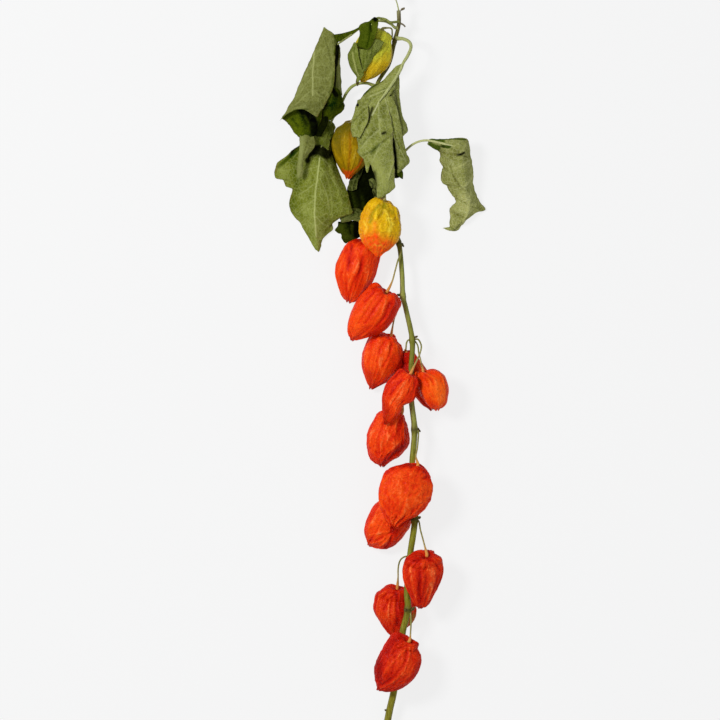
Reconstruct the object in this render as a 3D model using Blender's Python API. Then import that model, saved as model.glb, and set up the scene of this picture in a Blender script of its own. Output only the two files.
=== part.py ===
"""Cut stem of physalis (Chinese lantern) laid on a table.

A jointed stem carries fifteen papery lanterns on thin stalks, seven wilted leaves with their
leaf stalks and a few dried buds. Every piece that grew as one is one closed solid. Sizes are in
millimetres along +Y from the cut end to the tip, with +Z up from the table; the finished part
is shifted so that its origin is the bottom centre of its box.
"""

import math
from dataclasses import dataclass

import bmesh
import bpy
from mathutils import Vector

MM = 0.001

# Driving dimensions, millimetres and degrees.
GAP = 0.3                   # air left between neighbouring pieces
STEM_SIDES = 10
STEM_RINGS = 64
NODE_SWELL = 0.24           # a leaf joint is this much thicker than the stem beside it
NODE_REACH = 4.5            # half length of that swelling
STALK_SIDES = 6
STALK_RINGS = 10
STALK_RADIUS = 0.9
CALYX_RADIUS = 1.5          # a lantern's stalk thickens to this at the lantern
STALK_ENTRY = 2.0           # a stalk runs straight from this far above the rim of the crown
STALK_SEAT = 2.3            # radius of the sunken crown where that run ends
LANTERN_SIDES = 20
PIT_RINGS = 2               # rings from the bottom of the crown to the rim of its shoulders
DOME_RINGS = 5              # rings from there down to the first chord
BODY_RINGS = 7
RIM_SHARE = 0.42            # radius of that rim, as a share of the first chord
NOD_REACH = 0.6             # share of the body over which a nodding lantern straightens out
PIT_DEPTH = 8.0             # depth of the crown below the rim
RIBS = 5
RIB_DEPTH = 0.09            # share of the radius between rib and valley
LEAF_SIDES = 14
LEAF_RINGS_PER_ROW = 1.5
BLADE_HALF_THICKNESS = 0.5
PETIOLE_RADIUS = 1.4
TIP_HALF_WIDTH = 0.6
BUD_SIDES = 8
BUD_RINGS = 6

# Stem: centre line, then radius, at the bends and joints that shape it.
STEM_LINE = (
    (-33, -120, 4.9), (-24.5, -60, 9), (-15, 0, 14.5), (-7.7, 34, 19.5), (-1.5, 74, 26),
    (3.1, 107, 31), (9.0, 132, 33.5), (8.0, 156, 34), (12, 200, 31), (17.3, 241, 28.5),
    (14.2, 290, 27), (14.5, 312, 27.2), (17.0, 348, 28.5), (13.2, 384, 31.5), (12.9, 422, 33),
    (14.2, 455, 32), (6.8, 492, 29), (3.0, 509, 27.5), (1.8, 537, 25.5), (-1.9, 572, 23),
    (-8.4, 606, 21), (-15.6, 642, 19.5), (-22.8, 684, 18), (-27.6, 726, 17), (-28.6, 760, 16.5),
    (-13.6, 787, 18), (-6.6, 815, 23.5), (-1.9, 834, 26.5), (-2.0, 850.6, 29),
)
STEM_RADII = ((-120, 4.6), (0, 4.1), (132, 3.8), (241, 3.7), (348, 3.4), (455, 3.1), (572, 2.8),
              (700, 2.5), (790, 2.3), (851, 2.4))
STEM_JOINTS = (132, 241, 348, 455, 509, 572, 642, 726, 815)


@dataclass(frozen=True)
class Lantern:
    """One papery husk, seen in plan by its crown, the chords across it and its tip."""

    name: str
    colour: tuple
    crown: tuple            # x, y where the stalk sinks in
    chords: tuple           # (x left, y left, x right, y right) from crown to tip
    tip: tuple              # x, y of the point
    heights: tuple          # height of the middle at the first chord and at the tip
    depth: float            # half thickness, up and down
    dome: float             # height of the shoulders round the crown
    nod: float = 12.0       # tilt that turns the crown up, degrees
    lean: float = 0.0       # right side lower than the left, degrees
    turn: float = 0.0       # turn of the ribs about the axis, degrees
    rests: bool = False     # lies on the table
    route: tuple = ()       # way of its stalk from the stem, before the crown


RED = (0.80, 0.10, 0.03, 1)
DEEP_RED = (0.60, 0.05, 0.02, 1)
ORANGE = (0.82, 0.14, 0.03, 1)
MUSTARD = (0.62, 0.38, 0.02, 1)
YELLOW = (0.72, 0.55, 0.03, 1)
LEAF_GREEN = (0.20, 0.26, 0.05, 1)
SHADE_GREEN = (0.04, 0.08, 0.01, 1)
STALK_TAN = (0.34, 0.28, 0.08, 1)
STEM_OLIVE = (0.16, 0.19, 0.03, 1)
BUD_BROWN = (0.06, 0.06, 0.02, 1)

LANTERNS = (
    Lantern("lantern_01", YELLOW, (-21.5, 830),
            ((-47, 823, -11, 813), (-55, 808, -10, 797), (-56, 792, -15, 783), (-53, 778, -27, 773)),
            (-45, 766), (33, 28), 16, 11, turn=20,
            route=((-9.8, 817, 25.1), (-9.8, 823, 29.6), (-11.2, 829, 34.3))),
    Lantern("lantern_02", MUSTARD, (-58, 711),
            ((-78, 706, -40, 707), (-81, 693, -37, 694), (-78, 678, -39, 676), (-72, 664, -47, 662)),
            (-63, 650), (19.5, 9), 18.5, 12, turn=9, rests=True,
            route=((-31.2, 733, 18), (-40, 729, 24))),
    Lantern("lantern_03", YELLOW, (-20, 618),
            ((-43, 614, -3, 611), (-48, 597, 0.5, 597), (-47.5, 581, 0, 582), (-41, 568, -9, 568)),
            (-26.5, 556), (47, 44), 18, 13, turn=30,
            route=((-19.2, 668, 22.2), (-17.8, 655, 30), (-18.3, 641, 39))),
    Lantern("lantern_04", RED, (-42, 571),
            ((-68, 566, -24, 560), (-76, 549, -27, 545), (-78, 534, -33, 527),
             (-73, 516, -45, 510), (-68, 507, -54, 502)),
            (-62, 499), (19.5, 9), 19, 12, turn=14, rests=True,
            route=((-19.2, 638, 17.5), (-28, 614, 19), (-37, 594, 20.5))),
    Lantern("lantern_05", ORANGE, (-17, 513),
            ((-39, 517, -2, 493), (-52, 503, -9, 478), (-60, 486, -21, 466),
             (-63, 472, -38, 460), (-62, 464, -50, 457)),
            (-58, 456), (44, 34), 18, 10, turn=50,
            route=((-5.2, 570, 25.4), (-5.8, 556, 29), (-8.6, 541, 35), (-12.6, 528, 41))),
    Lantern("lantern_06", ORANGE, (-13, 459),
            ((-38, 458, 1.5, 449), (-45, 442, 2.5, 434), (-46, 424, -2, 419), (-41, 409, -15, 406)),
            (-35, 397), (19.5, 9), 18, 9, turn=2, rests=True,
            route=((-0.2, 506, 25.6), (-3.6, 495, 22), (-8, 478, 21))),
    Lantern("lantern_07", DEEP_RED, (12, 430),
            ((9.5, 428.5, 24, 432.5), (9.5, 411, 33.5, 421), (12, 397, 40, 408), (21, 385, 45, 393.5),
             (29, 377, 43, 384)),
            (38, 372), (14, 9), 12, 13, nod=20, turn=40, rests=True,
            route=((9.7, 455.5, 33.8), (7.4, 452, 33), (6.6, 445, 29.5))),
    Lantern("lantern_08", RED, (11, 412),
            ((-5, 416, 22, 398), (-19, 402, 18, 384), (-24.5, 387, 6, 377), (-24.5, 373, -1, 365),
             (-23.5, 363, -12, 358)),
            (-21, 356), (51, 43), 15, 9, lean=-6, turn=24,
            route=((18.2, 456.6, 33.4), (22, 455.5, 36), (25, 448, 40), (23, 438.5, 45),
                   (18.5, 429, 51))),
    Lantern("lantern_09", ORANGE, (30, 413),
            ((23.5, 407, 54, 411), (24, 399, 57.5, 400), (28, 388, 57, 388), (35, 378, 54, 379)),
            (44, 372), (39, 33), 14, 10, turn=36,
            route=((18.2, 453.2, 31.2), (21, 448, 31.6), (22, 440, 33), (24, 432, 36.5))),
    Lantern("lantern_10", RED, (0, 366),
            ((-29, 365, 6, 359), (-38, 349, 8.5, 344), (-40.5, 333, 8.5, 330),
             (-38, 319, -1, 317), (-33, 311, -12, 310)),
            (-25, 304), (20, 9), 19, 10, turn=70, rests=True,
            route=((8.6, 399, 30.2), (6.2, 391, 29), (3.4, 383, 27))),
    Lantern("lantern_11", ORANGE, (16, 303),
            ((-21, 293, 36, 292), (-26, 277, 37.5, 277), (-25.5, 261, 33, 260), (-20, 246, 20, 246.5),
             (-14.5, 236, 2, 237)),
            (-10, 226), (53, 48), 17.5, 14, turn=12,
            route=((21.4, 346, 30.5), (21.2, 336, 33.5), (20, 325, 40), (18.4, 316, 47))),
    Lantern("lantern_12", RED, (2, 256),
            ((-20, 265, 13, 239), (-32, 257, 8, 227), (-40, 241, -3, 213), (-43, 226, -16, 205),
             (-40, 216, -28, 206)),
            (-37, 209), (18, 9), 17, 9, turn=60, rests=True,
            route=((9.4, 287, 26.2), (8.2, 279, 25.4), (5.6, 269, 24))),
    Lantern("lantern_13", DEEP_RED, (30.5, 195),
            ((5, 191, 50, 192), (2.5, 179, 51.5, 180), (5.5, 163, 47, 164), (12, 148, 39.5, 149),
             (18, 138.5, 32, 138)),
            (24, 135), (47.6, 37), 16, 9, nod=42, lean=12, turn=18,
            route=((21.9, 238.5, 30.6), (24, 228, 34), (27.2, 216, 42))),
    Lantern("lantern_14", DEEP_RED, (-4, 151),
            ((-27, 148, 14, 146), (-32.5, 134, 18, 131), (-26, 120, 15, 118), (-18, 108, 5, 107)),
            (-7, 96), (15, 8), 13.5, 11, nod=40, turn=4, rests=True,
            route=((6.9, 196, 31.5), (2.6, 194.3, 30.5), (-0.8, 190, 29), (-2.6, 182, 27.6),
                   (-2.8, 170, 27))),
    Lantern("lantern_15", RED, (10.5, 89),
            ((-14, 97, 24, 80), (-23, 82, 25, 68), (-30, 65, 19, 54), (-30, 50, 5, 41),
             (-28, 42, -12, 35)),
            (-26, 36), (49, 36), 15.5, 11, nod=34, turn=44,
            route=((13.6, 129.6, 35.4), (14.2, 119, 38), (13.9, 109, 42))),
)


@dataclass(frozen=True)
class Leaf:
    """One leaf: the way of its stalk, rows of points across the blade and its tip."""

    name: str
    colour: tuple
    petiole: tuple          # from the stem to the foot of the blade
    rows: tuple             # each row runs from margin to margin, rows from base to tip
    tip: tuple
    sides: int = LEAF_SIDES


LEAVES = (
    Leaf("leaf_upper_left", LEAF_GREEN,
         ((-6.6, 830.4, 28.2), (-11.5, 834.5, 29.5), (-20, 838, 31), (-34, 837.4, 29), (-48, 832, 27),
          (-60, 826, 27), (-68, 820, 28), (-74.5, 814, 30)),
         (((-91, 831, 26), (-85.5, 819, 33), (-78.5, 804, 36), (-72.5, 799, 22)),
          ((-104, 800, 22), (-92, 795, 33), (-78.5, 786, 38), (-71.5, 781, 17)),
          ((-119, 770, 20), (-100, 770, 35), (-79, 767, 38), (-71.5, 761, 19)),
          ((-131, 746, 24), (-108, 748, 40), (-85, 748, 38), (-68, 744, 20)),
          ((-142, 722, 34), (-121, 731, 50), (-99, 724, 46), (-67, 736, 20)),
          ((-139, 717, 28), (-121, 721, 42), (-102, 717, 38), (-74, 727, 20)),
          ((-131, 706, 28), (-117, 705, 37), (-106, 706, 35), (-86, 717, 22)),
          ((-124, 697, 31), (-117, 696, 38), (-110, 697, 38), (-104, 697, 31)),
          ((-122, 685, 32), (-116, 685, 37), (-110, 685, 37), (-104, 686, 32)),
          ((-124, 670, 31), (-121, 670, 34), (-118, 670, 34), (-115, 671, 31))),
         (-121, 652, 29)),
    Leaf("leaf_lower_left", LEAF_GREEN,
         ((-32.4, 761.5, 17.5), (-40, 764, 20), (-49, 763.6, 21), (-58, 760, 19), (-65, 752, 14),
          (-70, 742, 7), (-76, 731, 3), (-82, 721, 2.5)),
         (((-108, 704, 2.5), (-97, 707, 6), (-88, 709, 7), (-84, 709, 6), (-80.5, 708, 3)),
          ((-128, 686, 1), (-113, 688, 9), (-98, 690, 15), (-89, 690, 12), (-82, 689, 5)),
          ((-148, 667, 1), (-124, 670, 11), (-98, 672, 21), (-88, 672, 17), (-78, 671, 8)),
          ((-151, 652, 1), (-125, 652, 12), (-99.5, 651, 24), (-85, 652, 19), (-72, 653, 8)),
          ((-131, 634, 2), (-117, 634, 13), (-102, 633, 24), (-83, 634, 18), (-65, 637, 9)),
          ((-133, 618, 1), (-118, 616, 12), (-103, 615, 22), (-80, 614, 17), (-58, 613, 12)),
          ((-123, 600, 1), (-113, 599, 9), (-103, 599, 17), (-88, 598, 10), (-74, 601, 5)),
          ((-114, 585, 1), (-107, 583, 6), (-101, 581, 10), (-95, 581, 6), (-86, 585, 2)),
          ((-104, 570, 1), (-101, 569, 3), (-99.2, 568, 4), (-97, 568, 3), (-95, 571, 1))),
         (-98.5, 561, 1)),
    Leaf("leaf_centre", LEAF_GREEN,
         ((-2.0, 817.2, 26.4), (3.4, 816.6, 31), (9, 812.6, 36), (11.2, 804.5, 42), (8.6, 796, 47),
          (4, 788.5, 50)),
         (((-18, 773, 45), (-14, 772, 50), (-9, 771, 54), (-3.6, 770.5, 55), (-1.2, 770, 49)),
          ((-40, 756, 38), (-29, 754, 50), (-17, 752, 57), (-8, 750, 54), (-0.5, 752, 44)),
          ((-53, 732, 40), (-40, 734, 52), (-27, 737, 58), (-11, 735, 54), (2, 733, 43)),
          ((-59.5, 708, 44), (-45, 709, 54), (-30, 712, 59), (-11, 711, 55), (9, 709, 42)),
          ((-50.5, 688, 46), (-41, 689, 55), (-29, 690, 60), (-9, 690, 55), (5, 691, 42)),
          ((-44, 667, 45), (-37, 669, 54), (-27, 668, 60), (-8, 668, 55), (10.5, 669, 42)),
          ((-31.5, 650, 47), (-28, 650, 55), (-22, 649, 60), (-9, 650, 55), (2, 652, 44)),
          ((-30.5, 638, 50), (-27, 637, 56), (-21, 636, 60), (-13, 636, 57), (-7, 638, 50))),
         (-24, 627, 57), 18),
    Leaf("leaf_right", LEAF_GREEN,
         ((-16.0, 664.8, 19.6), (-6, 671, 22), (6, 682.5, 27), (14, 689.5, 32), (23, 693.6, 35),
          (32.5, 694.6, 35.5)),
         (((41, 685.5, 27), (43, 689, 34), (45, 692, 37), (47, 695, 35), (48, 697, 30)),
          ((48.5, 678, 20), (54, 683, 33), (62, 689, 41), (66, 693, 37), (66, 696.5, 28)),
          ((48, 669, 14), (57, 672, 29), (72, 679, 39), (77, 686, 35), (80, 692, 24)),
          ((50, 655, 10), (60, 656, 26), (74, 658, 34), (82, 662, 28), (87, 663, 16)),
          ((51, 643, 6), (63, 642, 22), (76, 641, 30), (83, 643, 22), (87.5, 644, 10)),
          ((66, 626, 7), (72, 627, 18), (79, 628, 24), (86, 629, 18), (92, 630, 8)),
          ((60, 614, 3), (70, 614, 13), (82, 613, 18), (91, 613, 12), (100, 612, 3)),
          ((60, 604, 2), (67, 603, 9), (76, 602, 13), (79, 602, 9), (83, 604, 4)),
          ((59.5, 594, 1), (63, 592, 5), (67, 590.5, 7), (71, 590.5, 5), (74, 593, 2)),
          ((58.5, 591.8, 1), (60, 590.4, 3), (62, 588.8, 4), (64.5, 587.4, 3), (67, 586.6, 1)),
          ((56, 591.4, 1), (56.2, 590.8, 1.2), (56.4, 590.2, 1.4), (56.7, 589.6, 1.2), (57, 589, 1))),
         (51.5, 588.6, 1)),
    Leaf("leaf_under", SHADE_GREEN,
         ((-26.7, 690.6, 15.9), (-31, 688, 13), (-36, 684, 9), (-39, 679, 7)),
         (((-44, 669, 4), (-38, 668.5, 7), (-32, 667, 4)),
          ((-50, 653, 3), (-40, 651, 8), (-30, 648, 4)),
          ((-60, 637, 4), (-45, 633, 10), (-30, 629, 6)),
          ((-61, 617, 3), (-50, 612, 10), (-37, 608, 8)),
          ((-75, 598, 3), (-62, 601, 10), (-48, 601, 8)),
          ((-79, 588, 1), (-64, 588, 5), (-48, 589, 4)),
          ((-71, 580, 0.8), (-61, 580, 1.6), (-51, 581, 1))),
         (-63, 574.5, 0.8)),
    Leaf("leaf_on_lantern", SHADE_GREEN,
         ((-11.8, 836, 39.5), (-17, 839, 42), (-23, 840.4, 43), (-29.5, 841, 45)),
         (((-47, 835, 42), (-38, 835, 52), (-27, 832, 53)),
          ((-56, 818, 38), (-43, 819, 56), (-28, 820, 56)),
          ((-60.5, 806, 36), (-46, 805, 56), (-24, 806, 56)),
          ((-64, 796, 35), (-50, 793, 55), (-30, 795, 54)),
          ((-60, 781, 35), (-50, 781, 50), (-40, 782, 50)),
          ((-54, 771, 33), (-50, 770, 41), (-45, 771, 43))),
         (-51, 763, 33)),
    Leaf("leaf_tip", LEAF_GREEN,
         ((-2.2, 851.6, 29.2), (-3.2, 856, 31), (-4.4, 860.5, 32), (-6, 864, 34)),
         (((-13.5, 869, 32), (-9.5, 870.5, 35), (-5, 871, 33)),
          ((-15, 875, 33), (-12, 876, 34), (-8.5, 876.5, 33))),
         (-13.2, 879.6, 33)),
)


@dataclass(frozen=True)
class Bud:
    """A small dried bud standing off a stem joint."""

    name: str
    foot: tuple
    head: tuple
    radius: float


BUDS = (
    Bud("bud_01", (12.8, 131.8, 34.8), (18.2, 136.5, 39), 1.9),
    Bud("bud_02", (21.5, 242.3, 27.5), (25.2, 243.4, 26.4), 1.8),
    Bud("bud_03", (20.7, 348.8, 26.2), (24.6, 344.8, 24.6), 1.8),
    Bud("bud_04", (-0.6, 509.8, 28.6), (-5.2, 509.4, 31), 1.6),
    Bud("bud_05", (2.0, 570.8, 22.3), (4.6, 566.8, 21.6), 1.5),
)


def material(name, colour, roughness):
    """A plain Principled material."""
    made = bpy.data.materials.new(name)
    made.use_nodes = True
    shader = made.node_tree.nodes["Principled BSDF"]
    shader.inputs["Base Color"].default_value = colour
    shader.inputs["Roughness"].default_value = roughness
    shader.inputs["Metallic"].default_value = 0.0
    return made


def skin(name, rings, sides, place, finish):
    """A closed skin spun from a line of rings; place(ring, angle) moves each point, in mm."""
    shell = bmesh.new()
    line = [shell.verts.new((min(1, ring, rings - ring), 0, ring)) for ring in range(rings + 1)]
    edges = [shell.edges.new(pair) for pair in zip(line, line[1:])]
    bmesh.ops.spin(shell, geom=line + edges, cent=(0, 0, 0), axis=(0, 0, 1), angle=2 * math.pi,
                   steps=sides, use_merge=True)
    bmesh.ops.remove_doubles(shell, verts=shell.verts, dist=0.001)
    for point in shell.verts:
        angle = math.atan2(point.co.y, point.co.x)
        point.co = place(round(point.co.z), angle) * MM
    shell.normal_update()
    bmesh.ops.recalc_face_normals(shell, faces=shell.faces)
    if shell.calc_volume(signed=True) < 0:
        bmesh.ops.reverse_faces(shell, faces=shell.faces)
    mesh = bpy.data.meshes.new(name)
    shell.to_mesh(mesh)
    shell.free()
    mesh.materials.append(finish)
    mesh.shade_smooth()
    piece = bpy.data.objects.new(name, mesh)
    bpy.context.collection.objects.link(piece)
    return piece


def smooth(points, place):
    """Point on the smooth curve through evenly numbered points, at a fractional index."""
    last = len(points) - 1
    index = min(max(int(place), 0), last - 1)
    t = place - index
    p1 = points[index]
    p2 = points[index + 1]
    p0 = points[index - 1] if index > 0 else p1 * 2 - p2
    p3 = points[index + 2] if index < last - 1 else p2 * 2 - p1
    return (p1 * 2 + (p2 - p0) * t + (p0 * 2 - p1 * 5 + p2 * 4 - p3) * t * t
            + (p1 * 3 - p0 - p2 * 3 + p3) * t * t * t) * 0.5


def between(table, key):
    """Value read off a table of (key, value) pairs by straight interpolation."""
    for (key_a, value_a), (key_b, value_b) in zip(table, table[1:]):
        if key <= key_b:
            share = max(0.0, (key - key_a) / (key_b - key_a))
            return value_a + (value_b - value_a) * share
    return table[-1][1]


def even_line(points, count):
    """Points at even distances along the smooth curve through the given points."""
    fine = [smooth(points, step / 12) for step in range(12 * (len(points) - 1) + 1)]
    lengths = [0.0]
    for a, b in zip(fine, fine[1:]):
        lengths.append(lengths[-1] + (b - a).length)
    line = []
    index = 0
    for step in range(count + 1):
        reach = lengths[-1] * step / count
        while index < len(fine) - 2 and lengths[index + 1] < reach:
            index += 1
        span = lengths[index + 1] - lengths[index]
        line.append(fine[index].lerp(fine[index + 1], (reach - lengths[index]) / span))
    return line


def tube(name, points, radius_at, count, sides, finish):
    """A solid rod with flat ends along the smooth curve through the points."""
    line = even_line([Vector(point) for point in points], count)
    tangents = [(line[min(i + 1, count)] - line[max(i - 1, 0)]).normalized() for i in range(count + 1)]
    across = [tangents[0].orthogonal().normalized()]
    for before, after in zip(tangents, tangents[1:]):
        across.append((before.rotation_difference(after) @ across[-1]).normalized())

    def place(ring, angle):
        station = min(max(ring - 1, 0), count)
        if ring in (0, count + 2):
            return line[station]
        sideways = across[station]
        upward = tangents[station].cross(sideways)
        spoke = sideways * math.cos(angle) + upward * math.sin(angle)
        return line[station] + spoke * radius_at(line[station], station / count)

    return skin(name, count + 2, sides, place, finish)


def stem_radius(point, _share):
    """Radius of the stem, with a swelling at each joint."""
    swell = sum(math.exp(-((point.y - joint) / NODE_REACH) ** 2) for joint in STEM_JOINTS)
    return between(STEM_RADII, point.y) * (1 + NODE_SWELL * swell)


def stalk_radius(_point, share):
    """Radius of a lantern's stalk, thicker towards the lantern."""
    return STALK_RADIUS + (CALYX_RADIUS - STALK_RADIUS) * max(0.0, (share - 0.7) / 0.3)


class Husk:
    """Geometry of one lantern, worked out from its plan."""

    def __init__(self, plan):
        self.plan = plan
        first, last = plan.heights
        count = len(plan.chords)
        slope = math.tan(math.radians(-plan.lean))
        self.middles = []
        self.halves = []
        for index, (x_left, y_left, x_right, y_right) in enumerate(plan.chords):
            height = first + (last - first) * index / count
            half = Vector((x_right - x_left, y_right - y_left, 0)) / 2
            half.z = half.length * slope
            self.middles.append(Vector(((x_left + x_right) / 2, (y_left + y_right) / 2, height)))
            self.halves.append(half)
        self.middles.append(Vector((*plan.tip, last)))
        self.halves.append(Vector((0, 0, 0)))
        self.widest = max(half.length for half in self.halves)
        self.flat = Vector((plan.tip[0] - plan.crown[0], plan.tip[1] - plan.crown[1], 0)).normalized()
        nod = math.radians(plan.nod)
        self.out = Vector((0, 0, math.sin(nod))) - self.flat * math.cos(nod)
        across = self.halves[0].normalized()
        self.aside = across * (Vector((*plan.crown, self.middles[0].z)) - self.middles[0]).dot(across)
        self.rim = self.middles[0] + self.out * plan.dome + self.aside
        self.crown = self.rim - self.out * PIT_DEPTH
        self.drop = 0.0
        if plan.rests:
            self.drop = min(self.point(row, side).z for row in range(DOME_RINGS + BODY_RINGS)
                            for side in (turn * math.tau / 40 for turn in range(40)))

    def upward(self, ring):
        """Direction of the upper side of a ring; the nod straightens out down the body."""
        share = 1 - min(max((ring - DOME_RINGS) / (BODY_RINGS * NOD_REACH), 0), 1)
        nod = math.radians(self.plan.nod) * share
        return Vector((0, 0, math.cos(nod))) + self.flat * math.sin(nod)

    def point(self, ring, angle):
        """Point of the husk on a ring from crown to tip, at an angle round it."""
        plan = self.plan
        rib = 1 + RIB_DEPTH * (0.5 - abs(math.sin(RIBS * (angle - math.radians(plan.turn)) / 2)))
        if ring < PIT_RINGS:
            share = ring / PIT_RINGS
            middle = self.crown.lerp(self.rim, share ** 1.5)
            half = self.halves[0] * (RIM_SHARE * share)
            rib = 1 + (rib - 1) * share
        elif ring < DOME_RINGS:
            arc = math.pi / 2 * (DOME_RINGS - ring) / (DOME_RINGS - PIT_RINGS)
            middle = self.middles[0] + self.out * plan.dome * math.sin(arc)
            middle = middle + self.aside * (1 - math.cos(arc))
            half = self.halves[0] * (RIM_SHARE + (1 - RIM_SHARE) * math.cos(arc))
        else:
            station = (ring - DOME_RINGS) / BODY_RINGS * (len(self.middles) - 1)
            middle = smooth(self.middles, station)
            half = smooth(self.halves, station)
        depth = plan.depth * half.length / self.widest
        point = middle + (half * math.cos(angle) + self.upward(ring) * depth * math.sin(angle)) * rib
        return point - Vector((0, 0, self.drop)) if self.plan.rests else point

    def stalk_end(self):
        """Last points of the stalk, straight into the sunken crown."""
        lower = Vector((0, 0, self.drop))
        width = self.halves[0].length
        opening = RIM_SHARE * min(width, self.plan.depth * width / self.widest)
        seat = self.crown.lerp(self.rim, 0.8 * STALK_SEAT / opening)
        return [self.rim + self.out * STALK_ENTRY - lower, seat - lower]


def make_lantern(plan):
    """A lantern and the stalk that carries it."""
    husk = Husk(plan)
    number = plan.name[-2:]
    skin(plan.name, DOME_RINGS + BODY_RINGS, LANTERN_SIDES, husk.point,
         material(plan.name, plan.colour, 0.55))
    tube("stalk_" + number, list(plan.route) + husk.stalk_end(), stalk_radius, STALK_RINGS,
         STALK_SIDES, material("stalk_" + number, STALK_TAN, 0.6))


def leaf_rows(plan):
    """Rows of points that the leaf's sheet runs through, from the stem to the tip."""
    columns = len(plan.rows[0])
    shares = [2 * index / (columns - 1) - 1 for index in range(columns)]
    route = [Vector(point) for point in plan.petiole]
    blade = [[Vector(point) for point in row] for row in plan.rows]
    stalk = []
    for index, point in enumerate(route):
        onward = route[min(index + 1, len(route) - 1)] - route[max(index - 1, 0)]
        side = Vector((-onward.y, onward.x, 0)).normalized() * PETIOLE_RADIUS
        stalk.append([point + side * share for share in shares])
    if (stalk[-1][-1] - stalk[-1][0]).dot(blade[0][-1] - blade[0][0]) < 0:
        stalk = [list(reversed(row)) for row in stalk]
    across = (blade[-1][-1] - blade[-1][0]).normalized() * TIP_HALF_WIDTH
    tip = [Vector(plan.tip) + across * share for share in shares]
    return stalk, stalk + blade + [tip]


def make_leaf(plan):
    """A leaf as one thin solid: its stalk is the narrow, thick start of the same skin."""
    stalk, rows = leaf_rows(plan)
    columns = len(rows[0])
    thickness = ((0, PETIOLE_RADIUS), (len(stalk) - 1, PETIOLE_RADIUS), (len(stalk), BLADE_HALF_THICKNESS))
    last = len(rows) - 1
    count = round(last * LEAF_RINGS_PER_ROW)

    def sheet(share, row):
        column = (share + 1) / 2 * (columns - 1)
        near = stalk if row < len(stalk) - 1 else rows
        point = smooth([smooth(line, column) for line in near], row)
        point.z = max(point.z, BLADE_HALF_THICKNESS + 0.1)
        return point

    def place(ring, angle):
        row = min(max(ring - 1, 0), count) / count * last
        if ring in (0, count + 2):
            return sheet(0, row)
        share = math.cos(angle)
        step = 0.05
        along = sheet(share / 2, min(row + step, last)) - sheet(share / 2, max(row - step, 0))
        sideways = sheet(min(share + step, 1), row) - sheet(max(share - step, -1), row)
        normal = sideways.cross(along).normalized()
        return sheet(share, row) + normal * between(thickness, row) * math.sin(angle)

    skin(plan.name, count + 2, plan.sides, place, material(plan.name, plan.colour, 0.6))


def make_bud(plan):
    """A pointed bud between its foot and its head."""
    foot = Vector(plan.foot)
    reach = Vector(plan.head) - foot
    across = reach.orthogonal().normalized()
    upward = reach.normalized().cross(across)

    def place(ring, angle):
        share = ring / BUD_RINGS
        radius = plan.radius * math.sin(math.pi * share ** 0.8) ** 0.8 if 0 < ring < BUD_RINGS else 0
        return foot + reach * share + (across * math.cos(angle) + upward * math.sin(angle)) * radius

    skin(plan.name, BUD_RINGS, BUD_SIDES, place, material(plan.name, BUD_BROWN, 0.7))


def set_origin():
    """Shift every piece so that the origin is the bottom centre of the whole box."""
    corners = [point.co for piece in bpy.data.objects for point in piece.data.vertices]
    low = Vector([min(corner[axis] for corner in corners) for axis in range(3)])
    high = Vector([max(corner[axis] for corner in corners) for axis in range(3)])
    shift = Vector(((low.x + high.x) / 2, (low.y + high.y) / 2, low.z))
    for piece in bpy.data.objects:
        for point in piece.data.vertices:
            point.co -= shift


def main():
    """Build every piece of the stem."""
    for piece in list(bpy.data.objects):
        bpy.data.objects.remove(piece, do_unlink=True)
    tube("stem", STEM_LINE, stem_radius, STEM_RINGS, STEM_SIDES, material("stem", STEM_OLIVE, 0.6))
    for lantern in LANTERNS:
        make_lantern(lantern)
    for leaf in LEAVES:
        make_leaf(leaf)
    for bud in BUDS:
        make_bud(bud)
    set_origin()


main()
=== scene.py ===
"""Dressed model of a cut physalis stem lying on a pale table, seen from above.

Every piece is drawn in plan millimetres, with +Y from the cut end to the tip and +Z up from the
table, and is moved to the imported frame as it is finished. Papery lanterns, wilted leaves and the
stem with its stalks each replace the plain solid of the same name. The tables of lanterns and
leaves hold their points as plain numbers, gathered by pairs, triples, quads and grid.
"""

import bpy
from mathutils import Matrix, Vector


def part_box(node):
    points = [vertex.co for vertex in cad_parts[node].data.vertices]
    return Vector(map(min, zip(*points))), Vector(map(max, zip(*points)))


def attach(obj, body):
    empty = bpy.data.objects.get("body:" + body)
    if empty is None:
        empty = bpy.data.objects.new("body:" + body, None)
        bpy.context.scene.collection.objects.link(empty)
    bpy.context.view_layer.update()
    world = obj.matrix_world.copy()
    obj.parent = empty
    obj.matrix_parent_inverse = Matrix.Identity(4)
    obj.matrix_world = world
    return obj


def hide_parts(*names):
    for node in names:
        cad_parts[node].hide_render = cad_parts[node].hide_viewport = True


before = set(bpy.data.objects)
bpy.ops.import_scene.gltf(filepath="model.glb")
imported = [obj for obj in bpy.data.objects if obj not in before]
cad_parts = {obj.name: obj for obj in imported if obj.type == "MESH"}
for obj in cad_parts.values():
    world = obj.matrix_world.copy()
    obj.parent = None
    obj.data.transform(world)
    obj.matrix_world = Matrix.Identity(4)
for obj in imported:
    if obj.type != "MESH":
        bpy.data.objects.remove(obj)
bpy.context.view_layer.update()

import logging
import math
from collections.abc import Callable
from dataclasses import dataclass
from enum import Enum

import bmesh
import bpy
import numpy as np
from mathutils import Vector

logging.basicConfig(level=logging.INFO, format="%(message)s")
LOG = logging.getLogger("physalis")

MM = 0.001
BODY = "root"
STEM_CORNER = (-37.499, -120.675, 0.3725)   # lowest corner of the stem's solid, plan millimetres
# relief carries the colour tone, with painted shade and painted light; dark also carries painted shadow on
# the leaves, and pale painted highlights on the husks
PATTERNS = ("relief", "vein", "along", "red", "olive", "dark", "pale")
TABLE_GAP = 0.15                            # lowest point of a piece that lies on the table
CAP_SHARES = (0.0, 0.6, 0.88)               # radii of the rings that close a tube's end, as shares
CAPS = len(CAP_SHARES)

Socket = bpy.types.NodeSocket


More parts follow.
